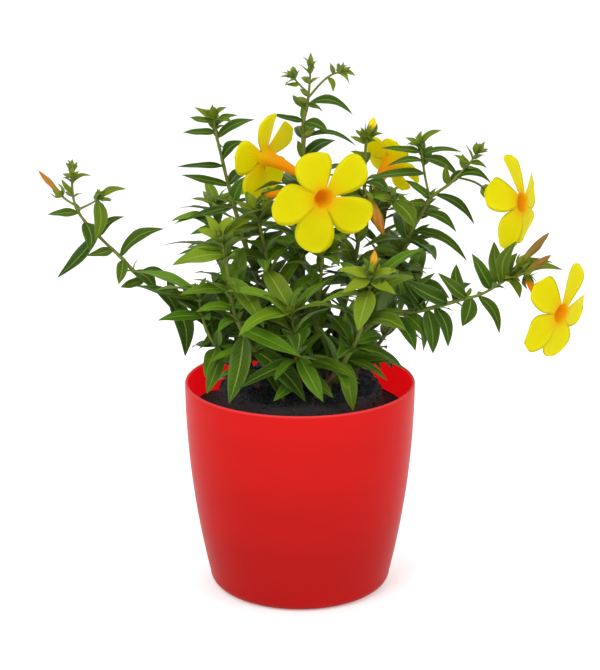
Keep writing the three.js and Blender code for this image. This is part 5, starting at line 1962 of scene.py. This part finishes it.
class MakeStage(bpy.types.Operator):
    """Set up the floor, the soft lights and the camera"""

    bl_idname = "allamanda.make_stage"
    bl_label = "Stage"

    def execute(self, context):
        stage = context.scene.allamanda_stage
        floor = turned_piece("studio_floor", FLOOR_ROWS, FLOOR_SIDES, paper_finish(stage))
        for name, (place, size, power) in LIGHTS.items():
            lamp = bpy.data.lights.new(name, "AREA")
            lamp.shape = "DISK"
            lamp.size = size
            lamp.energy = getattr(stage, power)
            aimed(name, lamp, place, stage.light_aim)
        lens = bpy.data.cameras.new("front_camera")
        lens.lens = stage.lens
        place = (0, -stage.camera_distance, stage.camera_height)
        context.scene.camera = aimed("front_camera", lens, place, stage.aim_height)
        world = bpy.data.worlds.new("soft_sky")
        world.use_nodes = True
        sky = world.node_tree.nodes["Background"]
        sky.inputs["Color"].default_value = (1, 1, 1, 1)
        sky.inputs["Strength"].default_value = stage.sky
        context.scene.world = world
        context.scene.view_settings.view_transform = "Standard"
        return {"FINISHED"}


def aimed(name, data, place, height):
    """A light or camera at a place, looking at a height over the middle of the pot."""
    thing = bpy.data.objects.new(name, data)
    bpy.context.scene.collection.objects.link(thing)
    thing.location = place
    aim = Vector((0, 0, height)) - thing.location
    thing.rotation_euler = aim.to_track_quat("-Z", "Y").to_euler()
    return thing


class AllamandaPanel(bpy.types.Panel):
    """Lists the pieces of the potted allamanda"""

    bl_idname = "VIEW3D_PT_allamanda"
    bl_label = "Potted allamanda"
    bl_space_type = "VIEW_3D"
    bl_region_type = "UI"
    bl_category = "Allamanda"

    def draw(self, context):
        for group, operators in PIECES:
            box = self.layout.box()
            settings = getattr(context.scene, group)
            for key in settings.__annotations__:
                box.prop(settings, key)
            for operator in operators:
                box.operator(operator.bl_idname)


GROUPS = {
    "allamanda_pot": PotSettings,
    "allamanda_leaf": LeafSettings,
    "allamanda_bloom": BloomSettings,
    "allamanda_stage": StageSettings,
}
PIECES = (
    ("allamanda_stage", (MakeStage,)),
    ("allamanda_pot", (MakePot, MakeSoil)),
    ("allamanda_leaf", (MakeStems, MakeLeaves)),
    ("allamanda_bloom", (MakeBlooms, MakeBuds)),
)
CLASSES = (*GROUPS.values(), *(o for _, row in PIECES for o in row), AllamandaPanel)


def register():
    for cls in CLASSES:
        bpy.utils.register_class(cls)
    for key, group in GROUPS.items():
        setattr(bpy.types.Scene, key, bpy.props.PointerProperty(type=group))


def unregister():
    for key in GROUPS:
        delattr(bpy.types.Scene, key)
    for cls in reversed(CLASSES):
        bpy.utils.unregister_class(cls)


def main():
    register()
    for _, operators in PIECES:
        for operator in operators:
            group, name = operator.bl_idname.split(".")
            getattr(getattr(bpy.ops, group), name)()
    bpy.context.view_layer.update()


if __name__ == "__main__":
    main()
